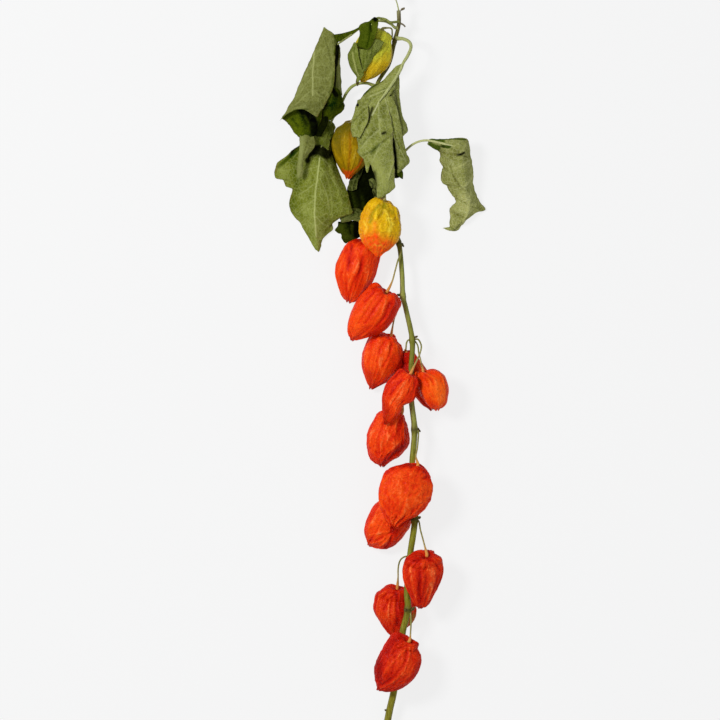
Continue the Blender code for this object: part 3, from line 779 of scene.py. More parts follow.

# In the strokes, shade and crease paint shade, glow and crest paint light, pale paints highlights, and red,
# olive and dark are stains
LANTERNS = (
    Lantern("lantern_01", LIME_PAPER, (-21.5, 830), quads(-47, 823, -11, 813, -55, 808, -10, 797,
        -56, 792, -15, 783, -53, 778, -27, 773), (-45, 766), (33, 28), 16, 11, turn=20, crinkle=0.45,
        dents=0.3, lobe=0, pit=1.5, young=True, pulls=((-9, 829, -4, -3, 7),), route=triples(-9.8, 817, 25.1,
        -9.8, 823, 29.6, -11.2, 829, 34.3), strokes=(
        olive(9, 1, -14, 824, -20, 808, -30, 797), olive(8, 1, -16, 830, -26, 814, -36, 800),
        olive(7, 0.8, -30, 830, -50, 816), olive(3, 0.5, -11.5, 812, -15, 792),
        glow(5, 0.9, -20, 820, -17, 812), crease(1, 0.7, -14, 806, -24, 792, -38, 776),
        glow(4, 0.8, -22, 792, -34, 780))),
    Lantern("lantern_02", OCHRE_PAPER, (-58, 711), quads(-79, 706, -40, 707, -82.6, 693, -37, 694,
        -79.8, 678, -39, 676, -73.4, 664, -47, 662), (-63, 650), (19.5, 9), 18.5, 12, turn=9, rests=True,
        crinkle=0.6, lobe=0.6, young=True, pulls=((-74, 717, 3, -2, 8),), route=triples(-31.2, 733, 18,
        -40, 729, 24), strokes=(
        olive(12, 1, -76, 708, -60, 714), olive(7, 0.6, -78, 700, -76, 684),
        red(1.4, 0.7, -44, 677, -50, 665, -62, 655, -69, 661), red(3.2, 1, -63, 651, -63, 656),
        red(1.6, 0.22, -60.5, 704, -60.5, 686, -62, 664), crest(1, 0.6, -66, 706, -67, 684, -63, 660),
        glow(1.3, 0.7, -54, 700, -54, 680, -61, 660), glow(8, 0.4, -52, 684, -56, 672),
        crease(1, 0.7, -72, 700, -72, 682, -66, 662), crease(1, 0.7, -60, 706, -59, 684, -62, 662))),
    Lantern("lantern_03", GOLD_PAPER, (-20, 618), quads(-43, 614, -3, 611, -48, 597, 0.5, 597,
        -47.5, 581, 0, 582, -41, 568, -9, 568), (-26.5, 556), (47, 44), 18, 13, turn=30, crinkle=0.5,
        dents=1.3, lobe=0.2, pit=3, young=True, pulls=((-4, 624, -3, -7, 8), (-17, 624, 0, -3, 5),
        (-38, 628, 0.5, -3, 7), (-46, 619, 2.5, -1.5, 6)), route=triples(-19.2, 668, 22.2, -17.8, 655, 30,
        -18.3, 641, 39), strokes=(
        olive(4, 0.6, -20, 618, -24, 606), olive(3, 0.5, -19, 616, -10, 608),
        olive(9, 0.28, -6, 604, -10, 586), red(9, 0.24, -44, 604, -44, 586),
        red(13, 1.15, -36, 565, -25, 561, -14, 562), red(4, 0.45, -30, 578, -30.5, 594),
        red(8, 0.5, -40, 576, -27, 574, -18, 571), crease(1.5, 1.2, -20, 617, -22, 606, -30, 596),
        crease(1.2, 1, -19, 616, -14, 608, -12, 598), olive(2, 0.8, -26, 616, -34, 606, -36, 596),
        crease(1.2, 1, -24, 618, -33, 610, -37, 600), pale(1.8, 0.7, -16, 600, -10, 594, -14, 586),
        pale(1.4, 0.7, -19, 610, -15, 604), pale(1, 0.9, -15, 601, -11, 600),
        pale(0.9, 0.3, -31, 570, -27, 567.6, -23, 569.6), pale(1.1, 0.4, -43, 597, -40, 590, -42, 583))),
    Lantern("lantern_04", RED_PAPER, (-42, 571), quads(-68, 566, -24, 560, -76, 549, -27, 545,
        -78, 534, -33, 527, -73, 516, -45, 510, -68, 507, -54, 502), (-62, 502), (19.5, 9), 19, 12, turn=14,
        rests=True, crinkle=1, dents=0.5, lobe=0.8, route=triples(-19.2, 638, 17.5, -28, 614, 19,
        -37, 594, 20.5), teeth=(1.4, 0.3, 1.3, 0.3, 1), strokes=(
        crease(1.6, 0.8, -57.7, 569, -60.5, 555, -62.5, 541), shade(2.6, 0.9, -58, 568, -61, 554, -63, 540),
        crease(2.2, 0.8, -46.4, 554, -47.7, 539, -53.7, 529, -59, 514),
        shade(3.4, 0.8, -46.4, 556, -47.7, 539, -53.7, 529), shade(3.6, 0.5, -29, 534, -40, 514),
        glow(6, 0.7, -60, 520, -58, 508), shade(5, 0.6, -56, 576, -46, 572),
        glow(5, 0.8, -70, 556, -68, 542), glow(6, 0.6, -40, 544, -42, 528),
        crest(1.1, 0.9, -52, 562, -50, 548, -56, 536), crease(1.2, 0.7, -66, 536, -64, 518, -62, 510))),
    Lantern("lantern_05", FIRE_PAPER, (-17, 513), quads(-39, 517, -2, 493, -52, 503, -9, 478,
        -60, 486, -21, 466, -63, 472, -38, 460, -62, 464, -50, 457), (-58, 456), (44, 34), 18, 10, turn=50,
        puff=1.8, crinkle=0.6, dents=0.35, lobe=1.8, pulls=((-17, 514, 0, -3.5, 3), (-28, 524, 0, 1.6, 5),
        (-8, 510, 1, 1.5, 4)), route=triples(0.9, 568, 27, 0.6, 560, 30, -3.2, 550, 33, -6.2, 539, 36,
        -9.8, 526, 41), strokes=(
        crest(1.1, 0.8, -16.4, 510, -18.4, 499, -23.7, 484, -33, 471, -46, 460),
        shade(5.5, 1.3, -9, 500, -14, 486, -22, 473, -34, 463), crease(1.5, 1, -13, 500, -18, 485, -28, 471),
        crease(1.4, 0.9, -19, 512, -28, 508, -38, 494, -50, 476),
        crease(1.2, 0.8, -20, 514, -30, 514, -42, 502), crease(1.3, 0.9, -20, 508, -30, 494, -42, 476),
        shade(3, 1, -22, 519, -32, 515), glow(6, 0.7, -54, 484, -56, 472),
        glow(4, 0.5, -34, 500, -44, 484))),
    Lantern("lantern_06", FIRE_PAPER, (-13, 459), quads(-38, 458, 1.5, 449, -45, 442, 3.5, 434,
        -46, 424, -1.5, 419, -41, 409, -15, 406), (-35, 397), (19.5, 9), 18, 9, turn=2, rests=True,
        crinkle=0.9, dents=0.5, lobe=1, pulls=((2, 457, -5, -4, 6),), route=triples(-0.2, 506, 25.6,
        -3.6, 495, 22, -8, 478, 21), strokes=(
        shade(4.5, 1.2, 3, 434, -4, 417, -15, 406, -27, 399), shade(4.5, 0.8, -36, 456, -22, 462),
        crease(1.5, 1, -14, 459, -10, 450, -13, 438, -20, 424),
        crease(1.3, 0.8, -16, 458, -24, 446, -28, 430), glow(2.2, 0.9, -18, 444, -24, 426),
        glow(5, 0.5, -38, 440, -34, 424), dark(5, 0.5, -36, 414, -34, 401))),
    Lantern("lantern_07", DEEP_PAPER, (12, 430), quads(0.5, 428, 22, 432.5, -1, 413, 31, 420.5,
        10, 397, 39, 407.5, 21, 385, 45, 393.5, 29, 377, 43, 384), (38, 372), (14, 9), 12, 13, nod=20,
        turn=40, rests=True, lobe=0.3, crinkle=0.7, pit=2, route=triples(9.7, 455.5, 33.8, 7.4, 452, 33,
        6.6, 445, 29.5), strokes=(
        shade(9, 1.5, 2, 442, 5, 424, 10, 404), shade(6, 0.9, 26, 400, 40, 380),
        glow(2, 0.9, 19, 436, 24, 424))),
    Lantern("lantern_08", RED_PAPER, (11, 412), quads(-5, 416, 20, 399, -17, 402.5, 16, 384.5,
        -21.6, 387.5, 3.5, 377, -21.6, 373, -1.5, 366.5, -20.4, 363, -11, 358.5), (-18, 355.5), (51, 43), 15,
        9, lean=-6, turn=24, crinkle=0.9, dents=0.5, lobe=1, route=triples(18.2, 456.6, 33.4, 22, 455.5, 36,
        25, 448, 40, 23, 438.5, 45, 18.5, 429, 51), strokes=(
        shade(4.5, 1.3, 3, 421, -10, 409, -21, 394), shade(3, 0.9, 18, 406, 20, 392),
        glow(5, 0.9, 8, 402, 0, 392, -10, 382), crease(1.3, 0.9, 8, 411, -2, 404, -12, 390),
        crease(1.3, 0.9, 11, 408, 10, 394, 2, 382), crease(1.2, 0.8, 2, 398, -6, 386, -16, 368),
        dark(5.5, 0.6, -22, 384, -16, 366, -21, 358))),
    Lantern("lantern_09", GLOW_PAPER, (30, 413), quads(21.5, 407.5, 53, 411, 21.8, 399, 56.5, 400,
        25.8, 388, 56, 388, 33, 378, 53.4, 379), (44, 372), (39, 33), 14, 10, turn=36, puff=2.2, crinkle=0.5,
        dents=0.2, lobe=1.8, route=triples(18.2, 453.2, 31.2, 21, 448, 31.6, 22, 440, 33, 24, 432, 36.5),
        strokes=(
        crease(1.5, 1.1, 29, 414, 37, 408.5, 40, 402), crease(1.3, 0.9, 29, 413, 33, 404, 35, 394),
        shade(3.4, 1.2, 26, 410, 25, 398, 29, 386, 36, 377),
        crest(1, 0.9, 27, 408, 27.5, 396, 32, 384, 38, 376), glow(7, 0.8, 44, 402, 46, 388),
        shade(3, 0.6, 38, 418, 50, 414))),
    Lantern("lantern_10", RED_PAPER, (0, 366), quads(-29, 365, 6, 359, -38, 349, 8.5, 344,
        -40.5, 333, 8.5, 330, -38, 319, -1, 317, -33, 311, -12, 310), (-22, 304), (20, 9), 19, 10, turn=70,
        rests=True, crinkle=0.8, dents=1, lobe=0.3, pulls=((11, 368, -6, -3, 8),),
        route=triples(8.6, 399, 30.2, 6.2, 391, 29, 3.4, 383, 27), strokes=(
        shade(8.5, 0.25, 1, 365, 5, 350, 7, 336), crest(1.3, 0.9, 1, 336, -5, 330, -15, 321, -23, 308),
        crease(2, 0.7, 2, 328, -3, 323, -13, 315, -22, 307), shade(3.6, 1, 4, 332, -6, 321, -18, 311),
        crest(1.2, 0.8, -2, 362, -7, 352, -12, 342, -18, 330), shade(2.2, 1, 0, 360, -2, 348, -10, 336),
        crest(1.2, 0.9, -12, 366, -16, 350, -15, 336), crease(1, 0.8, -20, 356, -26, 340, -25, 320),
        glow(7, 0.7, -30, 344, -28, 326), dark(2.2, 0.7, -3, 324, 3, 327))),
    Lantern("lantern_11", FIRE_PAPER, (16, 303), quads(-21, 293, 36, 292, -26, 277, 37.5, 277,
        -25.5, 261, 33, 260, -20, 246, 20, 246.5, -14.5, 236, 2, 237), (-10, 226), (53, 48), 17.5, 14,
        turn=12, crinkle=0.55, dents=1.35, lobe=0, pit=2, pulls=((36, 304, -5, -3.5, 11), (22, 307, 0, 2, 8),
        (8, 309, 0, 1.5, 6)), route=triples(21.4, 346, 30.5, 21.2, 336, 33.5, 20, 325, 40, 18.4, 316, 47),
        strokes=(
        shade(4, 1, -20, 298, -5, 306, 10, 306, 26, 302, 36, 288), crease(1, 0.8, 9, 296, 9, 276, -1, 248),
        crease(1, 0.6, -10, 292, -14, 272, -12, 250), crease(1.1, 0.8, -20, 250, -12, 238, -10, 230),
        crease(1.1, 0.8, 6, 246, -4, 236, -9, 230), crease(1, 0.8, -2, 250, -7, 240, -10, 231),
        crease(1, 0.8, 14, 244, 0, 234, -8, 228), glow(8, 0.4, -6, 280, 4, 262),
        glow(7, 0.5, 28, 280, 24, 262), glow(5, 0.5, -4, 244, -8, 238), dark(2.2, 2.4, -10, 227, -10, 231))),
    Lantern("lantern_12", FIRE_PAPER, (2, 256), quads(-20, 265, 13, 239, -32, 257, 8, 227, -40, 241, -3, 213,
        -43, 226, -16, 205, -40, 216, -28, 206), (-37, 209), (18, 9), 17, 9, turn=60, rests=True,
        crinkle=0.7, dents=0.8, lobe=0.3, route=triples(9.4, 287, 26.2, 8.2, 279, 25.4, 5.6, 269, 24),
        strokes=(
        shade(3.4, 1.3, -8, 226, 4, 238, 11, 241), crest(1.2, 1, -10, 228, 2, 232, 8, 230),
        crease(1.6, 1.2, -10, 226, -12, 214, -18, 207), shade(4, 0.8, -4, 224, -12, 210, -22, 205),
        crease(1.2, 0.9, -22, 238, -30, 224, -36, 214), crest(1.2, 0.9, -14, 222, -26, 214, -34, 212),
        crest(1, 0.9, -14, 226, -26, 224, -36, 222), crest(1, 0.9, -12, 221, -18, 214, -24, 208),
        crease(1, 0.9, -12, 224, -22, 218, -30, 214), glow(6, 0.5, -30, 236, -24, 222))),
    Lantern("lantern_13", DEEP_PAPER, (30.5, 195), quads(5, 191, 50, 192, 2.5, 179, 51.5, 180,
        5.5, 163, 47, 164, 12, 148, 39.5, 149, 18, 138.5, 32, 138), (24, 135), (47.6, 37), 16, 9, nod=42,
        lean=12, turn=18, crinkle=0.9, dents=0.6, lobe=0.3, pit=1.5, pulls=((46, 202, -2, -3, 6),),
        route=triples(21.9, 238.5, 30.6, 24, 228, 34, 27.2, 216, 42), strokes=(
        crease(2.4, 0.5, 24, 176, 22, 160, 23, 141), shade(4.8, 1.1, 25, 178, 23.5, 164, 25, 146),
        shade(4, 0.9, 8, 192, 20, 192), glow(3, 1.1, 12, 184, 14, 166, 18, 150),
        glow(5, 1, 36, 182, 38, 166, 33, 150), glow(4.5, 0.35, 26, 186, 31, 182),
        crease(1.2, 0.9, 29, 195, 18, 192, 9, 184), crease(1.2, 0.9, 32, 194, 41, 190, 47, 180),
        crease(1, 0.6, 30, 190, 31, 172, 30, 152), shade(2.4, 0.4, 47, 184, 44, 166, 36, 150),
        crease(1.1, 0.8, 16, 186, 10, 170, 16, 148))),
    Lantern("lantern_14", DEEP_PAPER, (-4, 151), quads(-27, 148, 14, 146, -32.5, 134, 18, 131,
        -26, 120, 15, 118, -18, 108, 5, 107), (-7, 96), (15, 8), 13.5, 12, nod=30, turn=4, rests=True,
        crinkle=0.7, dents=0.5, lobe=0.2, pit=1, pulls=((-28, 147, -2.4, 2.4, 6), (-12, 162, 0, 2.5, 6)),
        route=triples(6.9, 196, 31.5, 2.6, 194.3, 30.5, -0.8, 190, 29, -2.6, 182, 27.6, -2.8, 170, 27),
        strokes=(
        glow(7, 0.8, -12, 138, -15, 122), shade(3, 1.2, -3.6, 150, -2.8, 134, -2.4, 112),
        crease(1.4, 1.1, -4.4, 150, -5, 132, -4, 112), shade(6, 0.8, 4, 146, 6, 128),
        crease(1.2, 0.9, -5, 152, -14, 153, -24, 144), crease(1.1, 0.8, -6, 150, -14, 144, -20, 132),
        crease(1.1, 0.8, -10, 146, -12, 128, -12, 112), olive(4.5, 0.8, 15, 124, 12, 116))),
    Lantern("lantern_15", DEEP_PAPER, (7.6, 92), quads(-13, 98, 20, 85, -22.4, 83, 24.6, 71, -30, 65, 19, 54,
        -30, 50, 5, 41, -28, 42, -12, 35), (-26, 36), (49, 36), 15.5, 8, nod=34, turn=44, crinkle=0.45,
        dents=1, lobe=0.7, pit=4, pulls=((-4, 103, 0, 4, 8),), route=triples(11.6, 129.6, 35.4,
        12.6, 119, 38, 12.3, 109, 42), strokes=(
        crest(0.9, 0.8, 11, 88, 9.9, 75, 4.5, 61, -5, 50, -23, 39),
        crease(1.6, 1, 7, 86, 6, 74, 0, 62, -9, 52, -22, 43), shade(5.5, 1.1, -2, 100, -10, 92, -15, 82),
        glow(7, 0.45, 17, 74, 10, 56), shade(8, 1.5, -26, 70, -25, 54),
        crest(1.1, 0.7, 6, 86, -4, 76, -14, 64, -24, 50), crease(1.2, 0.8, 8, 90, -4, 86, -14, 76),
        glow(4, 0.25, -4, 74, -10, 62))),
)


@dataclass
class LanternMaker:
    """Builds a husk and the stalk that carries it."""

    plan: Lantern
    sides: int = 150
    pit_rings: int = 12
    dome_rings: int = 34
    body_rings: int = 94
    pit_end: float = 2.0        # ring number at the rim of the crown
    dome_end: float = 5.0       # ring number at the first chord
    mouth: float = 11.86        # last ring before the tip is closed
    tip_end: float = 12.0       # ring number at the tip
    rim_share: float = 0.42     # width of the crown's rim, as a share of the first chord
    rib_count: int = 5
    rib_depth: float = 0.09     # share of the width that goes in and out with the ribs
    nod_reach: float = 0.6      # share of the body over which it swings level
    keel: float = 0.9           # height of the five main ribs, millimetres
    side_keel: float = 0.45     # height of the five ribs between them
    rib_wander: float = 0.16    # drift of the ribs round the husk, radians
    noise_radius: float = 24.0  # radius at which the noise is read, millimetres
    crown_length: float = 30.0  # added to the length along which it is read
    wander_size: tuple = (26, 26, 20)
    fold_size: tuple = (7.0, 7.0, 28)
    fine_size: tuple = (3.6, 3.6, 9)
    broad_size: tuple = (14, 14, 20)
    dent_size: tuple = (6.5, 6.5, 8.5)
    small_dent_size: tuple = (3.4, 3.4, 4.4)
    tooth_width: float = 0.34   # radians
    tooth_length: float = 2.4
    tooth_flare: float = 0.7
    tip_depth: float = 2.5      # how far in the tip is closed
    stalk_radius: float = 0.95
    calyx_radius: float = 1.9
    foot_swell: float = 0.7
    stalk_sides: int = 14
    stalk_rings: int = 90

    def __post_init__(self) -> None:
        """Work out the middles and half chords of the husk."""
        plan = self.plan
        self.noise = Noise(int(plan.name[-2:]))
        first, last = plan.heights
        chords = np.array(plan.chords, float)
        count = len(chords)
        heights = first + (last - first) * np.arange(count) / count
        half = (chords[:, 2:] - chords[:, :2]) / 2
        lift = np.linalg.norm(half, axis=1) * math.tan(math.radians(-plan.lean))
        middle = np.column_stack([(chords[:, 2:] + chords[:, :2]) / 2, heights])
        self.middles = np.vstack([middle, [*plan.tip, last]])
        self.halves = np.vstack([np.column_stack([half, lift]), np.zeros(3)])
        self.widest = np.linalg.norm(self.halves, axis=1).max()
        self.flat = unit(np.array([plan.tip[0] - plan.crown[0], plan.tip[1] - plan.crown[1], 0.0]))
        nod = math.radians(plan.nod)
        self.out = np.array([0, 0, math.sin(nod)]) - self.flat * math.cos(nod)
        across = unit(self.halves[0])
        toward = np.array([*plan.crown, self.middles[0][2]]) - self.middles[0]
        self.aside = across * (toward @ across)
        self.rim = self.middles[0] + self.out * plan.dome + self.aside
        self.crown = self.rim - self.out * plan.pit
        self.drop = 0.0
        if plan.rests:
            ring, angle = np.meshgrid(np.arange(12.0), np.arange(40) * np.pi / 20, indexing="ij")
            self.drop = self.base(ring, angle)[..., 2].min()

    def base(self, ring: np.ndarray, angle: np.ndarray) -> np.ndarray:
        """Places on the plain husk.

        Args:
            ring: Ring numbers from crown to tip.
            angle: Angles round the husk.

        Returns:
            Places in plan millimetres.
        """
        plan = self.plan
        pit = ring < self.pit_end
        dome = (ring >= self.pit_end) & (ring < self.dome_end)
        share = np.clip(ring / self.pit_end, 0, 1)[..., None]
        arc = (np.pi / 2 * (self.dome_end - ring) / (self.dome_end - self.pit_end))[..., None]
        reach = self.tip_end - self.dome_end
        station = (ring - self.dome_end) / reach * (len(self.middles) - 1)
        middle = np.where(pit[..., None], self.crown + (self.rim - self.crown) * share ** 1.5,
                          np.where(dome[..., None],
                                   self.middles[0] + self.out * plan.dome * np.sin(arc)
                                   + self.aside * (1 - np.cos(arc)),
                                   smooth(self.middles, station)))
        half = np.where(pit[..., None], self.halves[0] * self.rim_share * share,
                        np.where(dome[..., None],
                                 self.halves[0] * (self.rim_share + (1 - self.rim_share) * np.cos(arc)),
                                 smooth(self.halves, station)))
        wave = np.abs(np.sin(self.rib_count * (angle - math.radians(plan.turn)) / 2))
        rib = 1 + self.rib_depth * (0.5 - wave) * np.where(pit, share[..., 0], 1.0)
        nod = math.radians(plan.nod) * (1 - np.clip((ring - self.dome_end) / (reach * self.nod_reach), 0, 1))
        upward = np.cos(nod)[..., None] * np.array([0, 0, 1.0]) + np.sin(nod)[..., None] * self.flat
        depth = plan.depth * np.linalg.norm(half, axis=-1, keepdims=True) / self.widest
        swing = half * np.cos(angle)[..., None] + upward * depth * np.sin(angle)[..., None]
        return middle + swing * rib[..., None] - np.array([0, 0, self.drop])

    def relief(self, ring: np.ndarray, angle: np.ndarray) -> tuple[np.ndarray, np.ndarray, np.ndarray]:
        """Height of ribs, folds and crinkles over the plain husk.

        Args:
            ring: Ring numbers.
            angle: Angles round the husk.

        Returns:
            Height in millimetres, a colour tone of 0 to 1 with painted shade in the hollows and the crown's
            pit and painted highlights on the crests, and the strength of the ribs.
        """
        plan = self.plan
        length = np.linalg.norm(self.middles[-1] - self.middles[0]) + self.crown_length
        spot = np.stack([self.noise_radius * np.cos(angle), self.noise_radius * np.sin(angle),
                         ring / self.tip_end * length], axis=-1)
        turned = angle - math.radians(plan.turn)
        wander = self.rib_wander * self.noise.at(spot / self.wander_size + 5)
        panel = self.rib_count * (turned + wander) / (2 * np.pi)
        panel = panel - np.floor(panel)
        edge = np.minimum(panel, 1 - panel)
        between = np.abs(panel - 0.5)
        body = ramp_step(ring, 1.2, 3.2) * (1 - ramp_step(ring, 11.0, 11.95))
        keel = bell(edge, 0.05)
        second = bell(between, 0.045) * ramp_step(ring, 2.5, 5)
        warp = 2.2 * np.stack([self.noise.at(spot / 9 + 31 * step) for step in range(3)], axis=-1)
        raw = self.noise.at((spot + warp) / self.fold_size)
        folds = 1 - 2.6 * np.abs(raw)
        ridge = bell(raw, 0.07)
        fine = self.noise.folds((spot + 0.6 * warp) / self.fine_size + 40)
        broad = self.noise.layers(spot / self.broad_size + 9, 2)
        dents = self.noise.folds((spot + 2.2 * warp) / self.dent_size + 3)
        small = self.noise.folds((spot + warp) / self.small_dent_size + 60)
        dents = 0.65 * dents + 0.35 * small - 0.3
        lobe = np.cos(self.rib_count * turned) * bell(ring - 3.2, 1.3)
        height = (self.keel * keel + self.side_keel * second
                  + plan.puff * (np.sin(np.pi * panel) ** 0.8 - 0.35)
                  + plan.crinkle * (0.5 * folds + 0.12 * fine + 1.1 * broad - 0.35)
                  + 0.75 * plan.dents * dents)
        height = height * body + plan.lobe * lobe
        # Tone: lighter on crests, ridge lines, ribs and dents and darker in the hollows, painted highlights
        # and painted shade, with random broad patches
        tone = (0.47 + plan.crinkle * (0.1 * folds + 0.06 * fine + 0.16 * ridge) + 0.22 * broad
                + 0.17 * plan.dents * dents + 0.14 * (keel + 0.6 * second))
        # Darker into the crown's pit: painted shade
        tone = tone - 0.25 * (1 - ramp_step(ring, 0.6, 3.0))
        return height, np.clip(tone, 0, 1), np.maximum(keel, 0.6 * second) * body

    def husk(self, space: Space) -> None:
        """Build the husk.

        Args:
            space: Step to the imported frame.
        """
        plan = self.plan
        rings = np.concatenate([np.linspace(0, self.pit_end, self.pit_rings, endpoint=False),
                                np.linspace(self.pit_end, self.dome_end, self.dome_rings, endpoint=False),
                                np.linspace(self.dome_end, self.mouth, self.body_rings),
                                [self.mouth]])
        angles = np.arange(self.sides) * 2 * np.pi / self.sides
        ring, angle = np.meshgrid(rings, angles, indexing="ij")
        points = self.base(ring, angle)
        for x, y, push_x, push_y, reach in plan.pulls:
            weight = brush(points, ((x, y),), reach)[..., None]
            points = points + weight * np.array([push_x, push_y, 0.0])
        normal = np.cross(np.gradient(points, axis=0), np.roll(points, -1, 1) - np.roll(points, 1, 1))
        normal = unit(normal)
        centre = points.mean(axis=1, keepdims=True)
        waist = slice(60, 100)
        if np.mean(np.sum(normal[waist] * (points - centre)[waist], axis=-1)) < 0:
            normal = -normal
        height, tone, vein = self.relief(ring, angle)
        values = {"red": 0.0, "olive": 0.0, "dark": 0.0, "pale": 0.0}
        facing = np.clip(normal[..., 2] * 2 + 0.6, 0, 1)
        # Lighter where the skin faces up and darker on its sides: painted light and shade
        tone = tone + 0.28 * (np.clip(normal[..., 2], 0, 1) - 0.65)
        # Crease and shade strokes paint shade, crest and glow strokes paint light; the others lay stains, and
        # pale paints highlights
        for stroke in plan.strokes:
            press = brush(points, stroke.line, stroke.reach) * stroke.strength * facing
            if stroke.mark in (Mark.CREASE, Mark.SHADE):
                height = height - (press if stroke.mark is Mark.CREASE else 0)
                tone = tone - 0.28 * press
            elif stroke.mark in (Mark.CREST, Mark.GLOW):
                height = height + (press if stroke.mark is Mark.CREST else 0)
                tone = tone + 0.24 * press
            else:
                values[stroke.mark.value] = np.clip(values[stroke.mark.value] + press, 0, 1)
        points = points + normal * height[..., None]
        axis = unit(self.middles[-1] - self.middles[-2])
        tooth = np.zeros_like(ring)
        for index, size in enumerate(plan.teeth):
            away = np.angle(np.exp(1j * (angle - math.radians(plan.turn) - index * 2 * np.pi / 5)))
            tooth += size * bell(away, self.tooth_width)
        tooth *= ramp_step(ring, 10.9, self.mouth) ** 1.5
        outward = unit(points - centre) * (tooth * self.tooth_flare)[..., None]
        points = points + axis * (tooth * self.tooth_length)[..., None] + outward
        points[0] = points[0].mean(axis=0)
        points[-1] = points[-2].mean(axis=0) - axis * self.tip_depth
        if plan.rests:
            points[..., 2] = np.maximum(points[..., 2], TABLE_GAP)
        skin = Skin(plan.name)
        skin.add_round(points, relief=np.clip(tone, 0, 1), vein=vein, along=ring / self.tip_end, **values)
        slot = "husk_yellow" if plan.young else "husk_red"
        skin.finish(space, plan.finish.make(plan.name), plan.name, slot)

    def stalk(self, space: Space, stem: "Stem", finish: bpy.types.Material) -> None:
        """Build the stalk, from inside the stem to the bottom of the crown.

        Args:
            space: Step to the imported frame.
            stem: The stem that it grows from.
            finish: Material of the stalks.
        """
        low = np.array([0, 0, self.drop])
        route = np.array(self.plan.route, float)
        root = stem.nearest(route[0])
        rim = self.rim + self.out * 2.0 - low
        crown = self.crown - low
        line = even_line(np.vstack([root, route, rim, crown]), self.stalk_rings)
        share = np.linspace(0, 1, self.stalk_rings)
        swell = ramp_step(share, 0.66, 0.97)
        foot = bell(share, 0.06)
        radii = self.stalk_radius + (self.calyx_radius - self.stalk_radius) * swell + self.foot_swell * foot
        radii = radii * (1 + 0.08 * self.noise.at(line / 6))
        skin = Skin("stalk_" + self.plan.name[-2:])
        ripe = 0.0 if self.plan.young else 1.0
        values = {"along": np.clip(share * (0.3 + 0.6 * ripe) + 0.05, 0, 1), "dark": 0.55 * foot,
                  "red": ramp_step(share, 0.66, 0.95) * 0.7 * ripe,
                  "pale": ramp_step(share, 0.6, 0.95) * 0.6 * (1 - ripe)}
        skin.add_round(tube_points(line, radii, self.stalk_sides),
                       **{key: pad_ends(value)[:, None] for key, value in values.items()})
        skin.finish(space, finish, skin.name, "stalk_tan")


